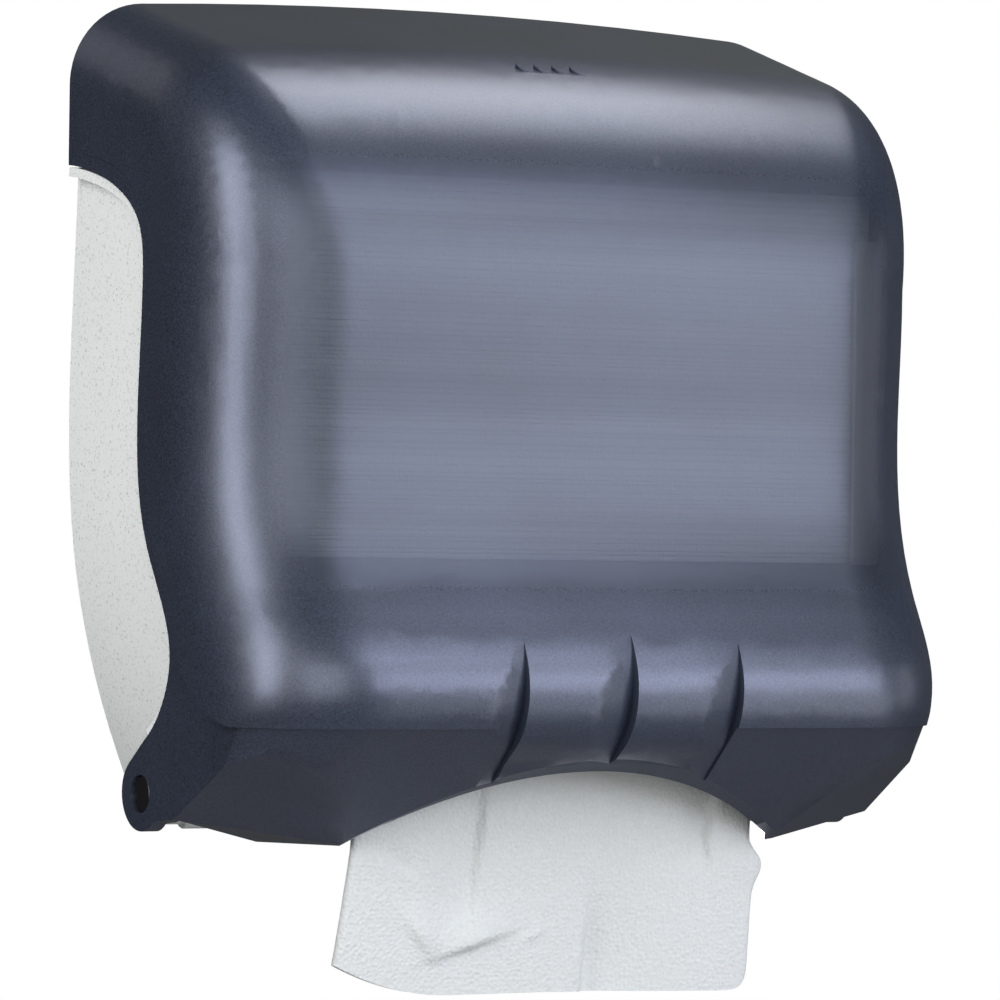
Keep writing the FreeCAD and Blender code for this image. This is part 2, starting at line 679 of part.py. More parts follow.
def screw_hole(start, direction):
    """Return the cutter for a small screw's shank, from its seat on."""
    lead = direction * SCREW_HEAD_HEIGHT
    length = SCREW_HEAD_HEIGHT + SCREW_LENGTH + SEAT_GAP
    return rod(SCREW_RADIUS + SCREW_FIT, length, start - lead, direction)


# Where the screws sit: the seat of each head and the way of each shank
DOWN = Vector(0, 0, -1)
TO_WALL = Vector(0, 1, 0)


def shelf_screw_seats():
    """Return the heads' seats of the screws that hold the shelf on the ledges."""
    depths = SHELF_SCREW_DEPTHS
    return [at(side * SHELF_SCREW_X, depth, SHELF_TOP) for side in (-1, 1) for depth in depths]


def guide_screw_seats():
    """Return the heads' seats of the screws that hold both guides on the shelf."""
    seats = []
    for side in (-1, 1):
        for depth in GUIDE_SCREW_DEPTHS:
            seats.append(at(side * GUIDE_SCREW_X, depth, SHELF_TOP + GUIDE_THICKNESS))
    return seats


def keeper_screw_seats():
    """Return the heads' seats of the screws that hold the keeper on the back plate."""
    depth = PLATE_THICKNESS + KEEPER_EAR_THICKNESS
    return [at(side * KEEPER_SCREW_X, depth, KEEPER_SCREW_HEIGHT) for side in (-1, 1)]


def roof_direction():
    """Return the way out through the roof, square to it."""
    slope = math.radians(TOP_SLOPE_DEG)
    return Vector(0, -math.sin(slope), math.cos(slope))


def catch_screw_seats():
    """Return the heads' seats of the screws that hold the catch under the roof."""
    slope = math.radians(TOP_SLOPE_DEG)
    x = CATCH_INNER + CATCH_THICKNESS + CATCH_FLANGE / 2
    seats = []
    for step in (-0.5, 0.5):
        drop = COVER_WALL + (CATCH_DROP + CATCH_THICKNESS)
        depth = (CATCH_REAR + CATCH_FLANGE_FRONT) / 2 + step * CATCH_SCREW_SPACING
        depth += drop * math.sin(slope)
        point = at(x, depth, roof_height(x, depth, 0)) - roof_direction() * drop
        seats.append(point)
    return seats


def cover():
    """Return the smoked cover: one moulding, open at the back."""
    form = cover_form(0)
    for cutter in rib_cuts() + grip_cuts():
        form = form.cut(cutter)
    hollow = cover_form(COVER_WALL)
    for cutter in rib_cuts():
        cutter.translate(at(COVER_WALL, -COVER_WALL * RIB_BACKING, 0))
        hollow = hollow.cut(cutter)
    shell = form.cut(hollow)
    shell = shell.cut(arch_cut()).cut(cut_out_prism())
    shell = shell.cut(block(-REACH, REACH, -REACH, RIM_DEPTH, -REACH, REACH))
    axis = at(HINGE_BOSS_INNER, HINGE_DEPTH, HINGE_HEIGHT)
    along = Vector(1, 0, 0)
    boss = rod(HINGE_BOSS_RADIUS, RIM_HALF_WIDTH - HINGE_BOSS_INNER, axis, along)
    boss = boss.cut(mirrored(beyond((FLANK_RIM, FLANK_NECK, FLANK_HINGE), Vector(-1, 0, 0), 0)))
    bore = rod(HINGE_PIN_RADIUS + RUNNING_FIT, REACH, axis - along, along)
    seat = at(HINGE_HEAD_SEAT, HINGE_DEPTH, HINGE_HEIGHT)
    recess = rod(HINGE_HEAD_RADIUS + HINGE_HEAD_CLEARANCE, REACH, seat, along)
    for part in both(boss):
        shell = shell.fuse(part)
    for part in both(bore.fuse(recess)):
        shell = shell.cut(part)
    for seat in catch_screw_seats():
        start = seat + roof_direction() * CATCH_THICKNESS
        shell = shell.fuse(rod(CATCH_BOSS_RADIUS, CATCH_DROP + COVER_WALL / 2, start, roof_direction()))
        shell = shell.cut(screw_hole(seat, roof_direction()))
    return shell


def barrel_wire(depth, side, top, top_half, foot_half, inset):
    """Return a closed outline of the chassis shell at a depth, moved inwards by an inset."""
    right = [at(RIM_HALF_WIDTH - step - inset, depth, z) for step, z in side]
    left = [Vector(-p.x, p.y, p.z) for p in right]
    crown = at(top_half - inset / 2, depth, top - inset)
    foot = at(foot_half - inset, depth, SHELL_FOOT)
    crown_left = Vector(-crown.x, crown.y, crown.z)
    foot_left = Vector(-foot.x, foot.y, foot.z)
    edges = [line(crown, right[0]), spline(right), line(right[-1], foot), line(foot, foot_left)]
    edges += [line(foot_left, left[-1]), spline(left[::-1]), line(left[0], crown_left)]
    edges.append(line(crown_left, crown))
    return Part.Wire(edges)


def barrel(inset):
    """Return the solid between the chassis' back and mouth outlines."""
    back = barrel_wire(0, PLATE_SIDE, PLATE_TOP, PLATE_TOP_HALF_WIDTH, PLATE_FOOT_HALF_WIDTH, inset)
    top, foot = MOUTH_TOP_HALF_WIDTH, MOUTH_FOOT_HALF_WIDTH
    mouth = barrel_wire(MOUTH_DEPTH, MOUTH_SIDE, MOUTH_TOP, top, foot, inset)
    return Part.makeLoft([back, mouth], True, True)


def cut_edge(offset):
    """Return the side-view points of the cover's cut-out edge, moved towards the chassis."""
    pairs = [CUT_REAR, CUT_LEDGE, CUT_CORNER, CUT_NECK, CUT_WAIST]
    pairs += [CUT_LOWER, CUT_BELLY, CUT_TURN, CUT_TAIL]
    curve = Part.BSplineCurve()
    curve.interpolate([side_point(0, pair) for pair in pairs])
    moved = []
    for pair in pairs:
        tangent = curve.tangent(curve.parameter(side_point(0, pair)))[0]
        moved.append((pair[0] + tangent.z * offset, pair[1] + tangent.y * offset))
    return moved


def side_region(trim):
    """Return the side-view prism of the chassis walls, its floor raised by a trim."""
    x = -REACH
    edge = cut_edge(-WALL_REACH - 2 * trim)[2:]
    radius = HINGE_ROLL_RADIUS - trim
    centre = (HINGE_DEPTH, HINGE_HEIGHT)
    floor = (FLOOR_RISE_DEPTH, FLOOR_HEIGHT + trim)
    front = (HINGE_DEPTH + radius, HINGE_HEIGHT)
    touch = tangent_point(floor, centre, radius, 1)
    bottom = (HINGE_DEPTH + radius * 0.6, HINGE_HEIGHT - radius * 0.8)
    lip = (HINGE_DEPTH + HINGE_ROLL_RADIUS + trim, HINGE_HEIGHT + trim)
    path = [edge[-1], lip, (front[0], lip[1]), front] if trim else [edge[-1], front]
    edges = [spline([side_point(x, pair) for pair in edge])]
    edges += [line(side_point(x, a), side_point(x, b)) for a, b in zip(path, path[1:])]
    edges.append(arc(side_point(x, front), side_point(x, bottom), side_point(x, touch)))
    rest = [touch, floor, (-trim, floor[1]), (-trim, REACH), (WALL_TOP_DEPTH, REACH)]
    rest += [(WALL_TOP_DEPTH, WALL_TOP_HEIGHT), edge[0]]
    edges += [line(side_point(x, a), side_point(x, b)) for a, b in zip(rest, rest[1:])]
    return slab(Part.Wire(edges), Vector(2 * REACH, 0, 0))


def flange_band():
    """Return the side-view band of the flange behind the cover's cut-out edge."""
    x = -REACH
    outer = cut_edge(FLANGE_GAP)
    inner = cut_edge(FLANGE_GAP + FLANGE_THICKNESS)
    edges = [spline([side_point(x, pair) for pair in outer])]
    edges.append(line(side_point(x, outer[-1]), side_point(x, inner[-1])))
    edges.append(spline([side_point(x, pair) for pair in inner[::-1]]))
    edges.append(line(side_point(x, inner[0]), side_point(x, outer[0])))
    return slab(Part.Wire(edges), Vector(2 * REACH, 0, 0))


def chassis():
    """Return the back plate with its side walls, floor, flange, lugs, ribs and ledges."""
    inside = barrel(WALL_THICKNESS).common(side_region(WALL_THICKNESS))
    inside = inside.cut(block(-REACH, REACH, -REACH, PLATE_THICKNESS, -REACH, REACH))
    body = barrel(0).common(side_region(0))
    band = flange_band().common(block(-REACH, REACH, 0, REACH, -REACH, REACH))
    for cutter in both(beyond((FLANGE_RIM, FLANGE_NECK, FLANGE_TOE), Vector(-1, 0, 0), 0)):
        band = band.cut(cutter)
    body = body.fuse(band)
    lug_start = at(LUG_INNER, HINGE_DEPTH, HINGE_HEIGHT)
    lug = rod(LUG_RADIUS, LUG_OUTER - LUG_INNER, lug_start, Vector(1, 0, 0))
    body = body.cut(inside)
    for part in both(lug):
        body = body.fuse(part)
    rib_front = STACK_REAR - SEAT_GAP
    foot = SHELF_TOP + SEAT_GAP
    for x in RIB_PLACES:
        half = RIB_THICKNESS / 2
        body = body.fuse(block(x - half, x + half, 1, rib_front, foot, RIB_TOP_HEIGHT))
    ledge_top = SHELF_TOP - SHELF_THICKNESS
    ledge = block(LEDGE_INNER, REACH, 1, LEDGE_FRONT, ledge_top - LEDGE_HEIGHT, ledge_top)
    ledge = ledge.common(barrel(WALL_THICKNESS / 2))
    pad_length = PLATE_THICKNESS + SCREW_PAD_HEIGHT
    for part in both(ledge):
        body = body.fuse(part)
    for side in (-1, 1):
        for level in (-1, 1):
            x, z = side * SCREW_SPACING_X / 2, level * SCREW_SPACING_Z / 2
            body = body.fuse(rod(SCREW_PAD_RADIUS, pad_length, at(x, 0, z), Vector(0, -1, 0)))
    holes = [screw_hole(point, DOWN) for point in shelf_screw_seats()]
    for seat in keeper_screw_seats():
        boss_start = at(seat.x, PLATE_THICKNESS, seat.z)
        body = body.fuse(rod(SCREW_BOSS_RADIUS, PLATE_THICKNESS, boss_start, TO_WALL))
        holes.append(rod(SCREW_RADIUS + SCREW_FIT, REACH, seat, TO_WALL))
    for side in (-1, 1):
        for level in (-1, 1):
            start = at(side * SCREW_SPACING_X / 2, -1, level * SCREW_SPACING_Z / 2)
            holes.append(rod(SCREW_HOLE_RADIUS, pad_length + 2, start, Vector(0, -1, 0)))
    bore_start = lug_start - Vector(1, 0, 0)
    holes += both(rod(HINGE_PIN_RADIUS + RUNNING_FIT, REACH, bore_start, Vector(1, 0, 0)))
    half = NOTCH_HALF_WIDTH
    holes.append(block(-half, half, -1, PLATE_THICKNESS, NOTCH_FOOT, REACH))
    half = CATCH_INNER + CATCH_THICKNESS + CATCH_FLANGE + CATCH_BAY_MARGIN
    holes.append(block(-half, half, PLATE_THICKNESS, REACH, KEEPER_FOOT, REACH))
    for hole in holes:
        body = body.cut(hole)
    return body


def hinge_pin():
    """Return the right hinge pin: head in the cover's recess, shank through boss and lug."""
    along = Vector(1, 0, 0)
    seat = at(HINGE_HEAD_SEAT, HINGE_DEPTH, HINGE_HEIGHT)
    tip = at(HINGE_PIN_TIP, HINGE_DEPTH, HINGE_HEIGHT)
    head = rod(HINGE_HEAD_RADIUS, HINGE_HEAD_THICKNESS, seat, along)
    head = head.makeFillet(HINGE_HEAD_THICKNESS / 3, [head.Edges[0]])
    return head.fuse(rod(HINGE_PIN_RADIUS, HINGE_HEAD_SEAT - HINGE_PIN_TIP, tip, along))


def pin_clip():
    """Return the right pin's push-on ring, against the lug's inner end."""
    start = at(LUG_INNER - HINGE_CLIP_THICKNESS, HINGE_DEPTH, HINGE_HEIGHT)
    along = Vector(1, 0, 0)
    ring = rod(HINGE_CLIP_RADIUS, HINGE_CLIP_THICKNESS, start, along)
    return ring.cut(rod(HINGE_PIN_RADIUS + SCREW_FIT, REACH, start - along, along))


def shelf():
    """Return the shelf with its throat, collar, front lip and screw bosses."""
    z = SHELF_TOP - SHELF_THICKNESS
    up = Vector(0, 0, 1)

    def plan(inset, height):
        rear = SHELF_REAR + inset
        wire = rounded_rectangle(SHELF_HALF_WIDTH - inset, rear - 2 * SHELF_CORNER,
                                 SHELF_FRONT - inset, SHELF_CORNER - inset, z)
        prism = slab(wire, up * height)
        return prism.common(block(-REACH, REACH, rear, REACH, -REACH, REACH))

    body = plan(0, SHELF_THICKNESS)
    lip = plan(0, SHELF_LIP_HEIGHT).cut(plan(SHELF_LIP_WALL, SHELF_LIP_HEIGHT))
    lip = lip.common(block(-REACH, REACH, SHELF_LIP_REAR, REACH, -REACH, REACH))
    lip.translate(up * -SHELF_LIP_HEIGHT)
    grow = SHELF_LIP_WALL
    collar = slab(rounded_rectangle(THROAT_HALF_WIDTH + grow, THROAT_REAR - grow, THROAT_FRONT + grow,
                                    THROAT_CORNER + grow, z), up * -THROAT_COLLAR)
    body = body.fuse(lip).fuse(collar)
    throat = slab(rounded_rectangle(THROAT_HALF_WIDTH, THROAT_REAR, THROAT_FRONT, THROAT_CORNER,
                                    z - THROAT_COLLAR - 1), up * REACH)
    body = body.cut(throat)
    for seat in guide_screw_seats():
        body = body.fuse(rod(SCREW_BOSS_RADIUS, SCREW_LENGTH + 1, at(seat.x, -seat.y, SHELF_TOP), DOWN))
        body = body.cut(screw_hole(seat, DOWN))
    for seat in shelf_screw_seats():
        body = body.cut(screw_hole(seat, DOWN))
    for side in (-1, 1):
        start = at(side * STOP_X, SHELF_FRONT - 2 * SHELF_LIP_WALL, SHELF_TOP - STOP_DROP)
        body = body.cut(rod(STOP_STEM_RADIUS + SCREW_FIT, REACH, start, TO_WALL * -1))
    return body


def stop_bumper(side):
    """Return one rubber stop: head before the lip, stem through it, bulb behind it."""
    z = SHELF_TOP - STOP_DROP
    x = side * STOP_X
    out = TO_WALL * -1
    head = rod(STOP_RADIUS, STOP_FRONT - SHELF_FRONT, at(x, SHELF_FRONT, z), out)
    rim = [edge for edge in head.Edges if edge.BoundBox.YMax < 0.1 - STOP_FRONT]
    head = head.makeFillet(STOP_RADIUS / 4, rim)
    rear = SHELF_FRONT - SHELF_LIP_WALL - STOP_BULB_LENGTH
    stem = rod(STOP_STEM_RADIUS, SHELF_FRONT - rear, at(x, rear, z), out)
    bulb = Part.makeCone(STOP_STEM_RADIUS, STOP_BULB_RADIUS, STOP_BULB_LENGTH, at(x, rear, z), out)
    return head.fuse(stem).fuse(bulb)


def guide():
    """Return the right side guide: wall beside the stack, front lip and screw foot."""
    inner = STACK_HALF_WIDTH + GUIDE_GAP
    outer = inner + GUIDE_THICKNESS
    front = STACK_FRONT + SEAT_GAP
    far = front + GUIDE_THICKNESS
    plan = [(inner, GUIDE_REAR), (outer, GUIDE_REAR), (outer, far), (outer - GUIDE_LIP, far)]
    plan += [(outer - GUIDE_LIP, front), (inner, front)]
    body = slab(outline([at(a, d, SHELF_TOP) for a, d in plan]), Vector(0, 0, GUIDE_TOP - SHELF_TOP))
    corner = GUIDE_LIP - GUIDE_THICKNESS
    foot_top = SHELF_TOP + GUIDE_THICKNESS
    foot = block(inner, GUIDE_FOOT_OUTER, GUIDE_FOOT_REAR, GUIDE_FOOT_FRONT, SHELF_TOP, foot_top)
    body = body.fuse(foot)
    rear_cut = [at(0, GUIDE_REAR - 1, GUIDE_TOP + 1), at(0, GUIDE_REAR - 1, GUIDE_TOP - 2 * corner)]
    rear_cut.append(at(0, GUIDE_REAR + 2 * corner, GUIDE_TOP + 1))
    body = body.cut(slab(outline(rear_cut), Vector(REACH, 0, 0)))
    for seat in guide_screw_seats():
        body = body.cut(screw_hole(seat, DOWN))
    return body


def keeper():
    """Return the block on the back plate that the bolt slides in."""
    rear = PLATE_THICKNESS
    body = block(-KEEPER_HALF_WIDTH, KEEPER_HALF_WIDTH, rear, KEEPER_FRONT, KEEPER_FOOT, KEEPER_TOP)
    wide = KEEPER_HALF_WIDTH + KEEPER_EAR
    ear_top = 2 * KEEPER_SCREW_HEIGHT - KEEPER_FOOT
    body = body.fuse(block(-wide, wide, rear, rear + KEEPER_EAR_THICKNESS, KEEPER_FOOT, ear_top))
    fit = BOLT_FIT
    body = body.cut(block(-REACH, REACH, BOLT_REAR - fit, BOLT_FRONT + fit, BOLT_FOOT - fit, BOLT_TOP + fit))
    half = NOTCH_HALF_WIDTH
    body = body.cut(block(-half, half, rear, BOLT_REAR + fit, BOLT_FOOT - fit, REACH))
    for seat in keeper_screw_seats():
        body = body.cut(rod(SCREW_RADIUS + SCREW_FIT, REACH, seat - TO_WALL, TO_WALL))
    return body


def bolt():
    """Return the sliding bolt at rest, drawn out of the catch, with its tab for the key."""
    body = block(BOLT_LEFT, BOLT_RIGHT, BOLT_REAR, BOLT_FRONT, BOLT_FOOT, BOLT_TOP)
    nose = [edge for edge in body.Edges if edge.BoundBox.XMin > BOLT_RIGHT - 0.01]
    body = body.makeChamfer((BOLT_FRONT - BOLT_REAR) / 5, nose)
    x0, x1 = TAB_CENTRE - TAB_HALF_WIDTH, TAB_CENTRE + TAB_HALF_WIDTH
    foot = block(x0, x1, TAB_REAR, BOLT_REAR + 1, BOLT_FOOT, BOLT_TOP)
    tab = block(x0, x1, TAB_REAR, TAB_FRONT, BOLT_FOOT, TAB_TOP)
    half = TAB_SLOT_WIDTH / 2
    slot = block(TAB_CENTRE - half, TAB_CENTRE + half, -1, REACH, TAB_TOP - TAB_SLOT_DEPTH, REACH)
    return body.fuse(foot).fuse(tab.cut(slot))


def catch():
    """Return the strip under the cover's roof whose eye takes the bolt."""
    x0 = CATCH_INNER
    x1 = x0 + CATCH_THICKNESS
    top = [at(x0, d, 0) for d in (CATCH_REAR, CATCH_FRONT)]
    seats = catch_screw_seats()
    out = roof_direction()
    back = Vector(0, out.z, -out.y)
    middle = (seats[0] + seats[1]) / 2
    half = (CATCH_FLANGE_FRONT - CATCH_REAR) / 2
    flange = []
    for side, level in ((-1, 0), (1, 0), (1, 1), (-1, 1)):
        point = middle + back * (half * side) + out * (CATCH_THICKNESS * level)
        flange.append(Vector(x0, point.y, point.z))
    body = slab(outline(flange), Vector(CATCH_THICKNESS + CATCH_FLANGE, 0, 0))
    drop = [flange[1], flange[0], Vector(x0, top[1].y, CATCH_FOOT), Vector(x0, top[0].y, CATCH_FOOT)]
    body = body.fuse(slab(outline(drop), Vector(CATCH_THICKNESS, 0, 0)))
    gap = EYE_CLEARANCE
    eye = block(x0 - 1, x1 + 1, BOLT_REAR - gap, BOLT_FRONT + gap, BOLT_FOOT - gap, BOLT_TOP + gap)
    body = body.cut(eye)
    for seat in seats:
        body = body.cut(screw_hole(seat, out))
    return body


def stack():
    """Return the folded towels as one block."""
    foot = SHELF_TOP + SEAT_GAP
    wire = rounded_rectangle(STACK_HALF_WIDTH, STACK_REAR, STACK_FRONT, STACK_CORNER, foot)
    return slab(wire, Vector(0, 0, STACK_TOP - foot))


def sheet_wire(z, depth, fold):
    """Return the closed plan outline of the hanging towel: arcs bowed to and fro in turn."""
    pitch = 2 * SHEET_HALF_WIDTH / SHEET_FOLDS
    half = SHEET_THICKNESS / 2
    front, rear = [], []
    for index in range(SHEET_FOLDS):
        x = -SHEET_HALF_WIDTH + index * pitch
        bow = fold if index % 2 else -fold
        near, far = depth + half, depth - half
        front.append(arc(at(x, near, z), at(x + pitch / 2, near + bow, z), at(x + pitch, near, z)))
        rear.append(arc(at(x + pitch, far, z), at(x + pitch / 2, far + bow, z), at(x, far, z)))
    right = line(at(SHEET_HALF_WIDTH, depth + half, z), at(SHEET_HALF_WIDTH, depth - half, z))
    left = line(at(-SHEET_HALF_WIDTH, depth - half, z), at(-SHEET_HALF_WIDTH, depth + half, z))
    return Part.Wire(front + [right] + rear[::-1] + [left])


def hanging_sheet():
    """Return the towel that hangs from the throat through the arch, with its main folds."""
    top = SHELF_TOP
    stations = [(top, SHEET_DEPTH, SHEET_TOP_FOLD), (KEEL_HEIGHT, SHEET_DEPTH, SHEET_TOP_FOLD * 1.5)]
    stations.append((SHEET_FOOT, SHEET_FOOT_DEPTH, SHEET_FOOT_FOLD))
    return Part.makeLoft([sheet_wire(z, depth, fold) for z, depth, fold in stations], True, True)


def export(name, shapes):
    """Write the solids of one node to its file."""
    solids = []
    for shape in shapes:
        solids += shape.Solids
        valid = shape.isValid()
        print(name, len(shape.Solids), "valid" if valid else "NOT VALID", round(shape.Volume, 1))
    group = solids[0] if len(solids) == 1 else Part.makeCompound(solids)
    group.exportStep("parts/" + name + ".step")


if __name__ == "__main__":
    export("back_chassis", [chassis()])
    pin = hinge_pin()
    export("hinge_pin_right", [pin])
    export("hinge_pin_left", [mirrored(pin)])
    export("pin_clip_right", [pin_clip()])
    export("pin_clip_left", [mirrored(pin_clip())])
    export("shelf", [shelf()])
    export("shelf_screws", [screw(seat, DOWN) for seat in shelf_screw_seats()])
    export("stop_bumper_left", [stop_bumper(-1)])
    export("stop_bumper_right", [stop_bumper(1)])
    export("guide_right", [guide()])
    export("guide_left", [mirrored(guide())])
    export("guide_screws", [screw(seat, DOWN) for seat in guide_screw_seats()])
    export("bolt_keeper", [keeper()])
    export("keeper_screws", [screw(seat, TO_WALL) for seat in keeper_screw_seats()])
    export("lock_bolt", [bolt()])
    export("cover_catch", [catch()])
    export("catch_screws", [screw(seat, roof_direction()) for seat in catch_screw_seats()])
    export("towel_stack", [stack()])
    export("hanging_towel", [hanging_sheet()])
    export("cover", [cover()])
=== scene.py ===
"""Wall-mounted multifold towel dispenser: smoked pearl cover, speckled chassis, paper towels."""

import logging
import math
import random
from dataclasses import dataclass, field
from enum import Enum

import bmesh
import bpy
from mathutils import Matrix, Vector


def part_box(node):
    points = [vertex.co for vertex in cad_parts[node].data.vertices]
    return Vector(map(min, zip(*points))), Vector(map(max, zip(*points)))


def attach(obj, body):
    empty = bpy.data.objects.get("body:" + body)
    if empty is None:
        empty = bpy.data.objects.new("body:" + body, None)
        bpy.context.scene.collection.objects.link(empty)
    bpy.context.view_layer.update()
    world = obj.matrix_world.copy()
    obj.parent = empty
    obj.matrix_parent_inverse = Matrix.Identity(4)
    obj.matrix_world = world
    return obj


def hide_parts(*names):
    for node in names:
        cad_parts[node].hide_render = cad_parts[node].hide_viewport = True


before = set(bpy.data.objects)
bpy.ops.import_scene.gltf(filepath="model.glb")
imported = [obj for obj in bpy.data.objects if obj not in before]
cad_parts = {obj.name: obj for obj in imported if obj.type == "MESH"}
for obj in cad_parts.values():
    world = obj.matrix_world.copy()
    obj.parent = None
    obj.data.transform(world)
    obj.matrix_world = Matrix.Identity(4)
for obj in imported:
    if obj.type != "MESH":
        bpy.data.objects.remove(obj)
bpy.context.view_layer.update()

LOG = logging.getLogger("dispenser")
MM = 0.001
WHITE = "#FFFFFF"
COOL_WHITE = "#F0F4FF"


class Body(Enum):
    """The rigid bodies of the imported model."""

    CHASSIS = "chassis"
    COVER = "cover"
    BOLT = "bolt"


def linear(code: str) -> tuple[float, float, float, float]:
    """Turn an sRGB hex value into the linear colour of a shader socket.

    Args:
        code: six hex digits, with or without a leading hash.

    Returns:
        Red, green and blue in linear light, and an alpha of one.
    """
    digits = code.lstrip("#")
    channels = [int(digits[i : i + 2], 16) / 255 for i in (0, 2, 4)]
    toned = [c / 12.92 if c <= 0.04045 else ((c + 0.055) / 1.055) ** 2.4 for c in channels]
    return (toned[0], toned[1], toned[2], 1.0)


def add_node(
    tree: bpy.types.NodeTree,
    kind: str,
    values: dict[str, object] | None = None,
    links: dict[str, bpy.types.NodeSocket] | None = None,
    **settings: object,
) -> bpy.types.Node:
    """Add a node to a tree, with its settings, socket values and incoming links.

    Args:
        tree: the node tree.
        kind: the node's type name, without the ShaderNode prefix.
        values: socket name or index to constant.
        links: socket name or index to the output socket that feeds it.
        settings: attributes of the node itself.

    Returns:
        The new node.
    """
    node = tree.nodes.new("ShaderNode" + kind)
    for key, value in settings.items():
        setattr(node, key, value)
    for key, value in (values or {}).items():
        node.inputs[key].default_value = value
    for key, source in (links or {}).items():
        tree.links.new(source, node.inputs[key])
    return node


@dataclass(frozen=True)
class Finish:
    """A surface finish: what all materials here share."""

    name: str
    roughness: float = 0.4
    ior: float = 1.5

    def start(
        self,
    ) -> tuple[bpy.types.Material, bpy.types.NodeTree, bpy.types.Node, bpy.types.NodeSocket]:
        """Make an empty material with a Principled shader and an Object coordinate.

        Returns:
            The material, its tree, the shader and the coordinate output.
        """
        material = bpy.data.materials.new(self.name)
        material.use_nodes = True
        tree = material.node_tree
        tree.nodes.clear()
        shader = add_node(tree, "BsdfPrincipled", {"Roughness": self.roughness, "IOR": self.ior})
        add_node(tree, "OutputMaterial", links={"Surface": shader.outputs[0]})
        place = add_node(tree, "TexCoord")
        return material, tree, shader, place.outputs["Object"]


@dataclass(frozen=True)
class SmokedPearl(Finish):
    """Smoked polycarbonate with a pearl flake, moulded: a deep blue-grey that gleams softly.

    The flakes of the real material are about 0.1 mm; they are drawn at 0.7 mm to show at all.
    """

    deep: str = "#101216"
    flake: str = "#353C4E"
    rim: str = "#565C34"
    gleam: str = "#CFD8FF"
    flake_mm: float = 0.7
    cloud_mm: float = 60.0
    # Alpha outside the see-through window. The near-opaque dark cover there is partly the smoked walls
    # seen at a slant and partly painted shade for the dim inside of the dispenser.
    smoked_and_painted_shade_alpha: float = 0.985
    clear: float = 0.45
    gloss: float = 0.7
    gloss_roughness: float = 0.4
    gloss_ior: float = 1.55
    metallic: float = 0.15
    bloom: float = 0.08
    bloom_roughness: float = 0.35
    cloud_share: float = 0.35
    mottle: tuple[float, float] = (0.3, 1.0)
    relief: float = 0.05
    relief_mm: float = 0.03
    # The see-through window over the towels, by position. Outside it the cover is closed as painted
    # shade.
    unshaded_half_mm: tuple[float, float] = (124.5, 106.5)
    unshaded_top_mm: tuple[float, float] = (97.0, 73.0)
    unshaded_foot_mm: tuple[float, float] = (-66.0, -44.0)

    def unshaded_window(self, tree: bpy.types.NodeTree, place: bpy.types.NodeSocket) -> bpy.types.NodeSocket:
        """Mark the see-through front over the towels; the near-opaque dark cover elsewhere is partly
        painted shade.

        Args:
            tree: the node tree.
            place: the Object coordinate.

        Returns:
            A factor from zero at the closed edge to one in the clear window.
        """
        axes = add_node(tree, "SeparateXYZ", links={"Vector": place})
        side = add_node(tree, "Math", {}, {0: axes.outputs["X"]}, operation="ABSOLUTE")
        factor = None
        for source, (shut, wide) in (
            (side.outputs[0], self.unshaded_half_mm),
            (axes.outputs["Z"], self.unshaded_top_mm),
            (axes.outputs["Z"], self.unshaded_foot_mm),
        ):
            ramp = add_node(
                tree, "MapRange", {"From Min": shut * MM, "From Max": wide * MM}, {"Value": source}
            )
            if factor is None:
                factor = ramp.outputs[0]
            else:
                factor = add_node(
                    tree, "Math", {}, {0: factor, 1: ramp.outputs[0]}, operation="MULTIPLY"
                ).outputs[0]
        return factor

    def make(self) -> bpy.types.Material:
        """Build the material.

        Returns:
            The material.
        """
        material, tree, shader, place = self.start()
        flakes = add_node(
            tree, "TexNoise", {"Scale": 1 / (self.flake_mm * MM), "Detail": 1.0}, {"Vector": place}
        )
        clouds = add_node(
            tree, "TexNoise", {"Scale": 1 / (self.cloud_mm * MM), "Detail": 2.0}, {"Vector": place}
        )
        blend = add_node(
            tree, "Math", {1: self.cloud_share}, {0: clouds.outputs[0]}, operation="MULTIPLY"
        )
        total = add_node(
            tree, "Math", {}, {0: blend.outputs[0], 1: flakes.outputs[0]}, operation="ADD"
        )
        least, most = self.mottle
        span = add_node(
            tree, "MapRange", {"From Min": least, "From Max": most}, {"Value": total.outputs[0]}
        )
        tone = add_node(
            tree,
            "Mix",
            {6: linear(self.deep), 7: linear(self.flake)},
            {0: span.outputs[0]},
            data_type="RGBA",
        )
        tree.links.new(tone.outputs[2], shader.inputs["Base Color"])
        bump = add_node(
            tree,
            "Bump",
            {"Strength": self.relief, "Distance": self.relief_mm * MM},
            {"Height": flakes.outputs[0]},
        )
        tree.links.new(bump.outputs[0], shader.inputs["Normal"])
        # Alpha by position: see-through over the towels, near opaque elsewhere. This paints shade where
        # the inside is unlit.
        see_through_and_painted_shade = add_node(
            tree,
            "MapRange",
            {"To Min": self.smoked_and_painted_shade_alpha, "To Max": self.clear},
            {"Value": self.unshaded_window(tree, place)},
        )
        tree.links.new(see_through_and_painted_shade.outputs[0], shader.inputs["Alpha"])
        shader.inputs["Metallic"].default_value = self.metallic
        shader.inputs["Specular Tint"].default_value = linear(self.gleam)
        shader.inputs["Coat Weight"].default_value = self.gloss
        shader.inputs["Coat Roughness"].default_value = self.gloss_roughness
        shader.inputs["Coat IOR"].default_value = self.gloss_ior
        shader.inputs["Sheen Weight"].default_value = self.bloom
        shader.inputs["Sheen Roughness"].default_value = self.bloom_roughness
        shader.inputs["Sheen Tint"].default_value = linear(self.rim)
        return material


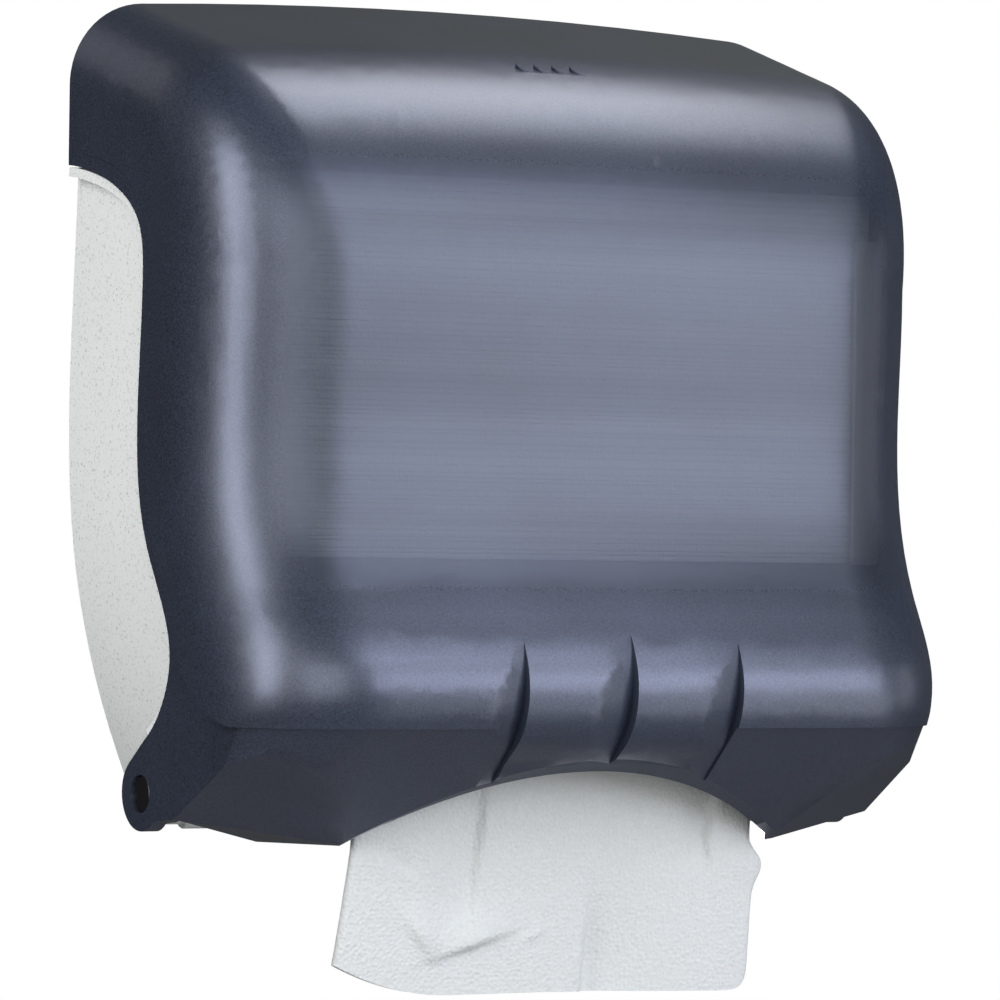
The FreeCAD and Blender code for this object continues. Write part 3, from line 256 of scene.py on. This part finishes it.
@dataclass(frozen=True)
class SpeckledPlastic(Finish):
    """Speckled ABS, moulded: a pale field with fine grey grains, and a faint grain to the touch."""

    field_colour: str = "#DADDDB"
    speck: str = "#9AA19E"
    speck_mm: float = 1.1
    speck_rough: float = 0.75
    speck_edge: tuple[float, float] = (0.56, 0.70)
    relief: float = 0.15
    relief_mm: float = 0.05

    def make(self) -> bpy.types.Material:
        """Build the material.

        Returns:
            The material.
        """
        material, tree, shader, place = self.start()
        grains = add_node(
            tree,
            "TexNoise",
            {"Scale": 1 / (self.speck_mm * MM), "Detail": 3.0, "Roughness": self.speck_rough},
            {"Vector": place},
        )
        least, most = self.speck_edge
        span = add_node(
            tree, "MapRange", {"From Min": least, "From Max": most}, {"Value": grains.outputs[0]}
        )
        tone = add_node(
            tree,
            "Mix",
            {6: linear(self.field_colour), 7: linear(self.speck)},
            {0: span.outputs[0]},
            data_type="RGBA",
        )
        tree.links.new(tone.outputs[2], shader.inputs["Base Color"])
        bump = add_node(
            tree,
            "Bump",
            {"Strength": self.relief, "Distance": self.relief_mm * MM},
            {"Height": grains.outputs[0]},
        )
        tree.links.new(bump.outputs[0], shader.inputs["Normal"])
        return material


@dataclass(frozen=True)
class MouldedPlastic(Finish):
    """Plain moulded plastic or rubber: a little cloudy in colour, with a fine spark-eroded grain."""

    low: str = "#5F6367"
    high: str = "#6C7074"
    grain_mm: float = 0.5
    relief: float = 0.12
    relief_mm: float = 0.04

    def make(self) -> bpy.types.Material:
        """Build the material.

        Returns:
            The material.
        """
        material, tree, shader, place = self.start()
        grain = add_node(
            tree, "TexNoise", {"Scale": 1 / (self.grain_mm * MM), "Detail": 2.0}, {"Vector": place}
        )
        tone = add_node(
            tree,
            "Mix",
            {6: linear(self.low), 7: linear(self.high)},
            {0: grain.outputs[0]},
            data_type="RGBA",
        )
        tree.links.new(tone.outputs[2], shader.inputs["Base Color"])
        bump = add_node(
            tree,
            "Bump",
            {"Strength": self.relief, "Distance": self.relief_mm * MM},
            {"Height": grain.outputs[0]},
        )
        tree.links.new(bump.outputs[0], shader.inputs["Normal"])
        return material


@dataclass(frozen=True)
class PlatedSteel(Finish):
    """Zinc-plated steel: metal with drawn lines along X and a faint bluish patchiness."""

    low: str = "#A9ACB0"
    high: str = "#C9CCCF"
    line_mm: float = 0.25
    stretch: float = 0.08
    smoother: float = 0.08
    rougher: float = 0.1

    def make(self) -> bpy.types.Material:
        """Build the material.

        Returns:
            The material.
        """
        material, tree, shader, place = self.start()
        turned = add_node(tree, "Mapping", {"Scale": (self.stretch, 1.0, 1.0)}, {"Vector": place})
        lines = add_node(
            tree,
            "TexNoise",
            {"Scale": 1 / (self.line_mm * MM), "Detail": 2.0},
            {"Vector": turned.outputs[0]},
        )
        tone = add_node(
            tree,
            "Mix",
            {6: linear(self.low), 7: linear(self.high)},
            {0: lines.outputs[0]},
            data_type="RGBA",
        )
        tree.links.new(tone.outputs[2], shader.inputs["Base Color"])
        worn = add_node(
            tree,
            "MapRange",
            {"To Min": self.roughness - self.smoother, "To Max": self.roughness + self.rougher},
            {"Value": lines.outputs[0]},
        )
        tree.links.new(worn.outputs[0], shader.inputs["Roughness"])
        shader.inputs["Metallic"].default_value = 1.0
        return material


@dataclass(frozen=True)
class TowelPaper(Finish):
    """Bleached crepe towel paper, embossed: matt white with a close field of small dimples.

    With a streak, the tone follows level lines instead, as the edges of a pile of sheets do.
    """

    low: str = "#B4B6B5"
    high: str = "#C6C8C7"
    dimple_mm: float = 1.5
    streak_mm: float = 9.0
    streak: float = 0.0
    streak_stretch: float = 0.02
    streak_edge: tuple[float, float] = (0.35, 0.65)
    dimple_spread: float = 0.8
    fibre_scale: float = 900.0
    fibre_share: float = 0.4
    relief: float = 0.8
    relief_mm: float = 0.4

    def make(self) -> bpy.types.Material:
        """Build the material.

        Returns:
            The material.
        """
        material, tree, shader, place = self.start()
        dimples = add_node(
            tree,
            "TexVoronoi",
            {"Scale": 1 / (self.dimple_mm * MM), "Randomness": self.dimple_spread},
            {"Vector": place},
        )
        fibres = add_node(
            tree, "TexNoise", {"Scale": self.fibre_scale, "Detail": 3.0}, {"Vector": place}
        )
        factor = fibres.outputs[0]
        if self.streak:
            level = (self.streak_stretch, self.streak_stretch, 1.0)
            folds = add_node(tree, "Mapping", {"Scale": level}, {"Vector": place})
            lines = add_node(
                tree,
                "TexNoise",
                {"Scale": 1 / (self.streak_mm * MM), "Detail": 3.0},
                {"Vector": folds.outputs[0]},
            )
            least, most = self.streak_edge
            factor = add_node(
                tree,
                "MapRange",
                {"From Min": least, "From Max": most, "To Min": 1.0 - self.streak},
                {"Value": lines.outputs[0]},
            ).outputs[0]
        tone = add_node(
            tree, "Mix", {6: linear(self.low), 7: linear(self.high)}, {0: factor}, data_type="RGBA"
        )
        tree.links.new(tone.outputs[2], shader.inputs["Base Color"])
        depth = add_node(
            tree, "Math", {1: self.fibre_share}, {0: fibres.outputs[0]}, operation="MULTIPLY"
        )
        height = add_node(
            tree, "Math", {}, {0: dimples.outputs[0], 1: depth.outputs[0]}, operation="ADD"
        )
        bump = add_node(
            tree,
            "Bump",
            {"Strength": self.relief, "Distance": self.relief_mm * MM},
            {"Height": height.outputs[0]},
        )
        tree.links.new(bump.outputs[0], shader.inputs["Normal"])
        return material


@dataclass(frozen=True)
class StudioFloor(Finish):
    """A floor that looks pale to the camera and gives little light back to the dispenser."""

    seen: str = "#F2F2F2"
    felt: str = "#808080"

    def make(self) -> bpy.types.Material:
        """Build the material.

        Returns:
            The material.
        """
        material, tree, shader, _ = self.start()
        path = add_node(tree, "LightPath")
        tone = add_node(
            tree,
            "Mix",
            {6: linear(self.felt), 7: linear(self.seen)},
            {0: path.outputs["Is Camera Ray"]},
            data_type="RGBA",
        )
        tree.links.new(tone.outputs[2], shader.inputs["Base Color"])
        return material


def dress(piece: bpy.types.Object, material: bpy.types.Material) -> None:
    """Give every slot of a piece one material.

    Args:
        piece: the piece.
        material: its material.
    """
    if not piece.data.materials:
        piece.data.materials.append(material)
    for index in range(len(piece.data.materials)):
        piece.data.materials[index] = material


def finish_mesh(
    name: str, mesh_edit: bmesh.types.BMesh, smooth_deg: float | None = 30.0
) -> bpy.types.Object:
    """Turn a bmesh into a piece in the scene.

    Args:
        name: the piece's name.
        mesh_edit: its geometry, freed here.
        smooth_deg: edges sharper than this stay sharp; None keeps every face flat.

    Returns:
        The new object.
    """
    if smooth_deg is not None:
        limit = math.radians(smooth_deg)
        for face in mesh_edit.faces:
            face.smooth = True
        for edge in mesh_edit.edges:
            edge.smooth = len(edge.link_faces) == 2 and edge.calc_face_angle(0.0) < limit
    mesh = bpy.data.meshes.new(name)
    mesh_edit.to_mesh(mesh)
    mesh_edit.free()
    piece = bpy.data.objects.new(name, mesh)
    bpy.context.scene.collection.objects.link(piece)
    return piece


@dataclass
class Shell:
    """A moulded piece that keeps its CAD shape: a merged copy that shades smoothly."""

    node: str
    body: Body
    slot: str
    finish: Finish
    merge_mm: float = 0.004
    smooth_deg: float = 24.0
    lip_finish: Finish | None = None
    lip_top_mm: float = -114.0
    lip_foot_mm: float = -146.0
    lip_front_mm: float = -98.0
    lip_facing: tuple[float, float] = (-0.97, -0.9)

    def is_lip(self, face: bmesh.types.BMFace) -> bool:
        """Tell whether a face belongs to the arch's lip, which looks down at the paper.

        Args:
            face: a face of the piece.

        Returns:
            Whether it lies in the lip's place and faces as the lip does.
        """
        centre = face.calc_center_median() / MM
        inside = self.lip_foot_mm < centre.z < self.lip_top_mm and centre.y < self.lip_front_mm
        steep, slack = self.lip_facing
        return inside and steep < face.normal.z < slack

    def build(self) -> bpy.types.Object:
        """Copy the node's mesh, merge its loose triangles and dress it.

        Returns:
            The piece that stands for the node.
        """
        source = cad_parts[self.node]
        copy = bmesh.new()
        copy.from_mesh(source.data)
        bmesh.ops.remove_doubles(copy, verts=copy.verts, dist=self.merge_mm * MM)
        copy.normal_update()
        if self.lip_finish is not None:
            for face in copy.faces:
                face.material_index = int(self.is_lip(face))
        piece = finish_mesh(self.node + "_shell", copy, self.smooth_deg)
        even = piece.modifiers.new("even", "WEIGHTED_NORMAL")
        even.keep_sharp = True
        dress(piece, self.finish.make())
        if self.lip_finish is not None:
            piece.data.materials.append(self.lip_finish.make())
        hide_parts(self.node)
        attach(piece, self.body.value)
        return piece


@dataclass
class TowelPile:
    """The folded towels: many thin leaves with rounded folds in front and behind."""

    leaves: int = 62
    fold_radius_mm: float = 0.35
    wander_mm: float = 0.3
    uneven: float = 0.45
    slip_mm: float = 0.01
    smooth_deg: float = 35.0
    seed: int = 7

    def leaf(self, pile: bmesh.types.BMesh, low: Vector, high: Vector, draw: random.Random) -> None:
        """Add one folded towel between two corners.

        Args:
            pile: the bmesh that takes the leaf.
            low: the leaf's lowest corner.
            high: its highest corner.
            draw: the source of its small unevenness.
        """
        centre = (low + high) / 2
        size = high - low
        place = Matrix.Translation(centre) @ Matrix.Diagonal((size.x, size.y, size.z, 1))
        made = bmesh.ops.create_cube(pile, size=1.0, matrix=place)["verts"]
        folds = [
            edge
            for edge in {e for v in made for e in v.link_edges}
            if abs(edge.verts[0].co.x - edge.verts[1].co.x) > size.x / 2
        ]
        bmesh.ops.bevel(
            pile,
            geom=folds,
            offset=self.fold_radius_mm * MM,
            segments=2,
            profile=0.5,
            affect="EDGES",
            material=-1,
        )
        shift = Vector((draw.uniform(-1, 1), draw.uniform(-1, 0.2), 0)) * self.wander_mm * MM
        floor, roof = low.z - self.slip_mm * MM, high.z + self.slip_mm * MM
        corners = [v for v in pile.verts if floor <= v.co.z <= roof and not v.tag]
        for vertex in corners:
            vertex.co += shift
            vertex.tag = True

    def build(self) -> bpy.types.Object:
        """Stack the leaves in the space of the CAD block.

        Returns:
            The pile.
        """
        low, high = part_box("towel_stack")
        draw = random.Random(self.seed)
        pile = bmesh.new()
        weights = [draw.uniform(1 - self.uneven, 1 + self.uneven) for _ in range(self.leaves)]
        unit = (high.z - low.z) / sum(weights)
        inset = self.wander_mm * MM
        level = low.z
        for weight in weights:
            foot = Vector((low.x + inset, low.y + inset, level))
            level += weight * unit
            top = Vector((high.x - inset, high.y - inset, level - self.slip_mm * MM))
            self.leaf(pile, foot, top, draw)
        piece = finish_mesh("towel_pile", pile, self.smooth_deg)
        paper = TowelPaper("folded towel paper", 0.8, low="#B6BEC6", high="#C4CCD4", streak=1.0)
        dress(piece, paper.make())
        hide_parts("towel_stack")
        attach(piece, Body.CHASSIS.value)
        return piece


@dataclass(frozen=True)
class Crease:
    """A crease in the hanging paper: the paper steps back at a line and comes forward again softly."""

    x_mm: float
    z_mm: float
    heading_deg: float
    reach_mm: float
    depth_mm: float
    sharp_mm: float = 1.2
    soft_mm: float = 8.0

    def offset(self, x_mm: float, z_mm: float) -> float:
        """Measure how far the crease sets the paper back at a place on the sheet.

        Args:
            x_mm: place across the sheet.
            z_mm: its height.

        Returns:
            The offset in millimetres.
        """
        turn = math.radians(self.heading_deg)
        right, up = x_mm - self.x_mm, z_mm - self.z_mm
        along = (right * math.cos(turn) + up * math.sin(turn)) / self.reach_mm
        beside = up * math.cos(turn) - right * math.sin(turn)
        scale = self.soft_mm if beside > 0 else self.sharp_mm
        return self.depth_mm * math.exp(-along * along - (beside / scale) ** 2)


@dataclass(frozen=True)
class Wave:
    """A soft wave across the hanging paper."""

    depth_mm: float
    turns: float
    phase: float

    def offset(self, share: float) -> float:
        """Measure the wave at a share of the sheet's half width, in metres."""
        return math.sin(share * self.turns + self.phase) * self.depth_mm * MM


@dataclass
class HangingTowel:
    """The towel that hangs through the arch: both side flaps are folded back behind the front."""

    flap_mm: float = 34.0
    turn_mm: float = 1.6
    columns: int = 200
    rows: int = 120
    front_mm: float = 3.0
    foot_lean_mm: float = 6.0
    lean_from: float = 0.6
    corner_lift_mm: float = 10.5
    corner_run_mm: float = 42.0
    spring_mm: float = 3.2
    spring_z_mm: float = -154.5
    spring_reach_mm: float = 6.0
    mouth_z_mm: float = -146.0
    mouth_reach_mm: float = 6.0
    mouth_step_mm: float = 0.6
    widen_mm: float = 2.2
    narrow_mm: float = 3.5
    narrow_z_mm: float = -192.0
    narrow_reach_mm: float = 45.0
    curl_mm: float = 2.5
    corner_mm: float = 3.0
    sag_mm: float = 1.5
    paper_mm: float = 0.25
    smooth_deg: float = 60.0
    sway: Wave = Wave(1.3, 2.6, 0.6)
    sway_held: float = 0.3
    ripple: Wave = Wave(0.5, 7.3, -1.1)
    creases: tuple[Crease, ...] = (
        Crease(-31.0, -148.0, 87.0, 22.0, 2.6, 1.8, 11.0),
        Crease(61.0, -139.0, 80.0, 13.0, 3.6, 1.6, 9.0),
        Crease(16.5, -187.0, -91.0, 21.0, 3.4, 1.5, 15.0),
        Crease(-30.0, -179.5, 17.0, 13.0, -3.2, 1.5, 9.0),
        Crease(-50.0, -176.0, -52.0, 9.0, -2.2, 2.0, 7.0),
        Crease(-6.0, -177.5, 27.0, 4.0, -1.0, 0.7, 2.5),
        Crease(-62.0, -151.0, -28.0, 7.0, 1.4, 1.2, 5.0),
    )

    def across(self, share: float, half: float) -> tuple[float, float]:
        """Follow the folded sheet's plan line.

        Args:
            share: from 0 at the left flap's edge to 1 at the right flap's edge.
            half: half the front's width, in metres.

        Returns:
            X, and how far behind the front the paper is, in metres.
        """
        flap = self.flap_mm * MM
        turn = self.turn_mm * MM
        arc = math.pi * turn
        total = 2 * (flap + arc) + 2 * half
        run = share * total
        if run > total / 2:
            x, back = self.across(1 - share, half)
            return -x, back
        if run < flap:
            return -half + flap - run, 2 * turn
        if run < flap + arc:
            angle = (run - flap) / turn
            return -half - turn * math.sin(angle), turn * (1 + math.cos(angle))
        return -half + (run - flap - arc), 0.0

    def side_step(self, share: float, z_mm: float) -> float:
        """Measure how far the free paper springs sideways below the arch.

        Args:
            share: place across the sheet, from -1 at the left fold to 1 at the right one.
            z_mm: its height.

        Returns:
            The step to the right in millimetres.
        """
        if share > 0:
            below = (z_mm - self.spring_z_mm) / self.spring_reach_mm
            bulge = self.spring_mm * math.exp(-(below**2))
            free = min(1.0, max(0.0, (self.mouth_z_mm - z_mm) / self.mouth_reach_mm))
            return (self.mouth_step_mm + self.widen_mm * free + bulge) * share**3
        taper = min(1.0, max(0.0, (z_mm - self.narrow_z_mm) / self.narrow_reach_mm))
        return self.narrow_mm * taper * -share

    def build(self) -> bpy.types.Object:
        """Shape the sheet from a flat grid.

        Returns:
            The sheet.
        """
        low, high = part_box("hanging_towel")
        turn = self.turn_mm * MM
        half = (high.x - low.x) / 2 - turn
        length = high.z - low.z
        front = low.y + self.front_mm * MM
        sheet = bmesh.new()
        bmesh.ops.create_grid(sheet, x_segments=self.columns, y_segments=self.rows, size=0.5)
        for vertex in sheet.verts:
            share, down = vertex.co.x + 0.5, 0.5 - vertex.co.y
            x, back = self.across(share, half)
            beyond = max(0.0, 1 - (x + half) / (self.corner_run_mm * MM))
            lift = self.corner_lift_mm * MM * beyond**2 * down**6
            z = high.z - length * down + lift
            sway = self.sway.offset(x / half) * (self.sway_held + (1 - self.sway_held) * down)
            ripple = self.ripple.offset(x / half) * down
            lean = self.foot_lean_mm * MM * max(0.0, down - self.lean_from) / (1 - self.lean_from)
            dents = sum(crease.offset(x / MM, z / MM) for crease in self.creases) * MM
            right = max(0.0, x / half)
            curl = self.curl_mm * MM * right**6
            # High powers keep the rounding within the last few millimetres of the corner.
            corner = self.corner_mm * MM * right**40 * down**30
            z += corner - self.sag_mm * MM * down * right
            left = self.narrow_mm * MM * down * max(0.0, -x / half)
            x += self.side_step(x / half, z / MM) * MM - left
            vertex.co = Vector((x, front + back + curl + sway + ripple + lean + dents, z))
        bmesh.ops.recalc_face_normals(sheet, faces=sheet.faces)
        piece = finish_mesh("hanging_sheet", sheet, self.smooth_deg)
        thick = piece.modifiers.new("two plies", "SOLIDIFY")
        thick.thickness = self.paper_mm * MM
        thick.offset = 0.0
        dress(piece, TowelPaper("embossed towel paper", 0.85).make())
        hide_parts("hanging_towel")
        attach(piece, Body.CHASSIS.value)
        return piece


@dataclass
class Hardware:
    """The rigid CAD pieces that keep their own mesh and get a finish."""

    finishes: dict[str, Finish] = field(default_factory=dict)

    def build(self) -> None:
        """Dress each node that is listed."""
        for node, finish in self.finishes.items():
            dress(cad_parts[node], finish.make())
            LOG.info("dressed %s", node)


@dataclass
class Softbox:
    """A rectangular studio lamp aimed at the dispenser."""

    name: str
    azimuth: float
    elevation: float
    distance: float
    width: float
    height: float
    power: float
    colour: str = WHITE
    target: Vector = field(default_factory=lambda: Vector((0.0, -0.08, -0.02)))

    def build(self) -> None:
        """Place the lamp. An azimuth of 0 is in front, positive to the right."""
        around, up = math.radians(self.azimuth), math.radians(self.elevation)
        level = math.cos(up)
        way = Vector((math.sin(around) * level, -math.cos(around) * level, math.sin(up)))
        lamp = bpy.data.lights.new(self.name, "AREA")
        lamp.shape = "RECTANGLE"
        lamp.size, lamp.size_y = self.width, self.height
        lamp.energy = self.power
        lamp.color = linear(self.colour)[:3]
        holder = bpy.data.objects.new(self.name, lamp)
        holder.location = self.target + way * self.distance
        holder.rotation_euler = way.to_track_quat("Z", "Y").to_euler()
        bpy.context.scene.collection.objects.link(holder)


@dataclass
class Studio:
    """The camera at the photograph's angle, the lamps, the world and the pale floor."""

    yaw: float = 28.27
    pitch: float = 0.54
    roll: float = 0.76
    eye: tuple[float, float, float] = (-0.913, -1.750, -0.045)
    lens: float = 197.2
    sensor_mm: float = 36.0
    far: float = 50.0
    floor_height: float = -0.9
    floor_half: float = 1.7
    fill: float = 0.045
    lamps: list[Softbox] = field(
        default_factory=lambda: [
            Softbox("left strip", -73, 14, 1.3, 0.35, 1.1, 12.5),
            Softbox("overhead", 95, 68, 1.5, 0.75, 0.7, 9.7),
            Softbox("front right", 27, 9, 1.8, 1.3, 0.8, 21.5, COOL_WHITE),
            Softbox("front high", 20, 36, 1.8, 1.1, 0.6, 13.0, COOL_WHITE),
            Softbox("front left", -31, 9, 1.9, 1.1, 1.4, 17.0),
            Softbox("right side", 76, 0, 1.6, 0.4, 0.8, 1.3),
            Softbox("front low", 40, -18, 1.6, 1.1, 0.8, 6.0),
            Softbox("back right", 150, 27, 1.6, 1.0, 0.8, 0.2, "#E6E8C8"),
            Softbox("back left", -150, 34, 1.6, 0.8, 0.6, 0.65),
            Softbox("back low", 172, -8, 1.6, 1.2, 0.6, 0.5),
            Softbox("back near", 151, -5, 0.72, 0.25, 0.3, 3.2),
        ]
    )

    def camera(self) -> None:
        """Set up the photograph's camera."""
        yaw, pitch, roll = (math.radians(v) for v in (self.yaw, self.pitch, self.roll))
        flat = math.cos(pitch)
        ahead = Vector((math.sin(yaw) * flat, math.cos(yaw) * flat, math.sin(pitch)))
        level = Vector((math.cos(yaw), -math.sin(yaw), 0.0))
        over = level.cross(ahead)
        right = level * math.cos(roll) + over * math.sin(roll)
        up = over * math.cos(roll) - level * math.sin(roll)
        data = bpy.data.cameras.new("camera")
        data.lens = self.lens
        data.sensor_width = self.sensor_mm
        data.clip_end = self.far
        holder = bpy.data.objects.new("camera", data)
        turn = Matrix((right, up, -ahead)).transposed().to_4x4()
        holder.matrix_world = Matrix.Translation(self.eye) @ turn
        bpy.context.scene.collection.objects.link(holder)
        bpy.context.scene.camera = holder

    def world(self) -> None:
        """A white view behind the object, and a softer grey that lights it."""
        world = bpy.data.worlds.new("studio")
        bpy.context.scene.world = world
        world.use_nodes = True
        tree = world.node_tree
        tree.nodes.clear()
        path = add_node(tree, "LightPath")
        rays = {0: path.outputs["Is Camera Ray"], 1: path.outputs["Is Transmission Ray"]}
        seen = add_node(tree, "Math", {}, rays, operation="MAXIMUM")
        strength = add_node(
            tree, "MapRange", {"To Min": self.fill, "To Max": 1.0}, {"Value": seen.outputs[0]}
        )
        back = add_node(tree, "Background", {"Color": linear(WHITE)}, {"Strength": strength.outputs[0]})
        add_node(tree, "OutputWorld", links={"Surface": back.outputs[0]})

    def floor(self) -> None:
        """A plain pale floor that stays out of the photograph's frame."""
        plane = bmesh.new()
        bmesh.ops.create_grid(plane, x_segments=1, y_segments=1, size=self.floor_half)
        bmesh.ops.translate(plane, verts=plane.verts, vec=(0, 0, self.floor_height))
        piece = finish_mesh("floor", plane, None)
        dress(piece, StudioFloor("studio floor", 0.7).make())

    def build(self) -> None:
        """Make the whole studio."""
        self.camera()
        self.world()
        self.floor()
        for lamp in self.lamps:
            lamp.build()
        bpy.context.scene.view_settings.view_transform = "Standard"


def main() -> None:
    """Build the studio and the dispenser, piece by piece."""
    logging.basicConfig(level=logging.INFO)
    Studio().build()
    cover = SmokedPearl("smoked pearl polycarbonate", 0.33, 1.55)
    lip = SmokedPearl("grained polycarbonate lip", 0.7, 1.45, gloss=0.2)
    chassis = SpeckledPlastic("speckled ABS", 0.5)
    grey = MouldedPlastic("grey ABS", 0.45, low="#55595D", high="#63676B")
    pale = MouldedPlastic("pale ABS", 0.45, low="#AEB2B6", high="#BCC0C3")
    zinc = PlatedSteel("zinc plated steel", 0.35)
    rubber = MouldedPlastic("moulded rubber", 0.85, low="#101010", high="#1A1A1A", grain_mm=1.0)
    black = MouldedPlastic("black acetal", 0.35, low="#08080A", high="#101013", grain_mm=0.4)
    pieces = [
        Shell("cover", Body.COVER, "smoked_cover", cover, lip_finish=lip),
        Shell("back_chassis", Body.CHASSIS, "speckled_chassis", chassis),
        TowelPile(),
        HangingTowel(),
    ]
    for piece in pieces:
        LOG.info("built %s", piece.build().name)
    Hardware(
        {
            "hinge_pin_left": black,
            "hinge_pin_right": black,
            "pin_clip_left": zinc,
            "pin_clip_right": zinc,
            "shelf": grey,
            "shelf_screws": zinc,
            "guide_left": pale,
            "guide_right": pale,
            "guide_screws": zinc,
            "bolt_keeper": MouldedPlastic("dark ABS", 0.5, low="#242526", high="#2E2F31"),
            "keeper_screws": zinc,
            "lock_bolt": zinc,
            "cover_catch": zinc,
            "catch_screws": zinc,
            "stop_bumper_left": rubber,
            "stop_bumper_right": rubber,
        }
    ).build()


if __name__ == "__main__":
    main()
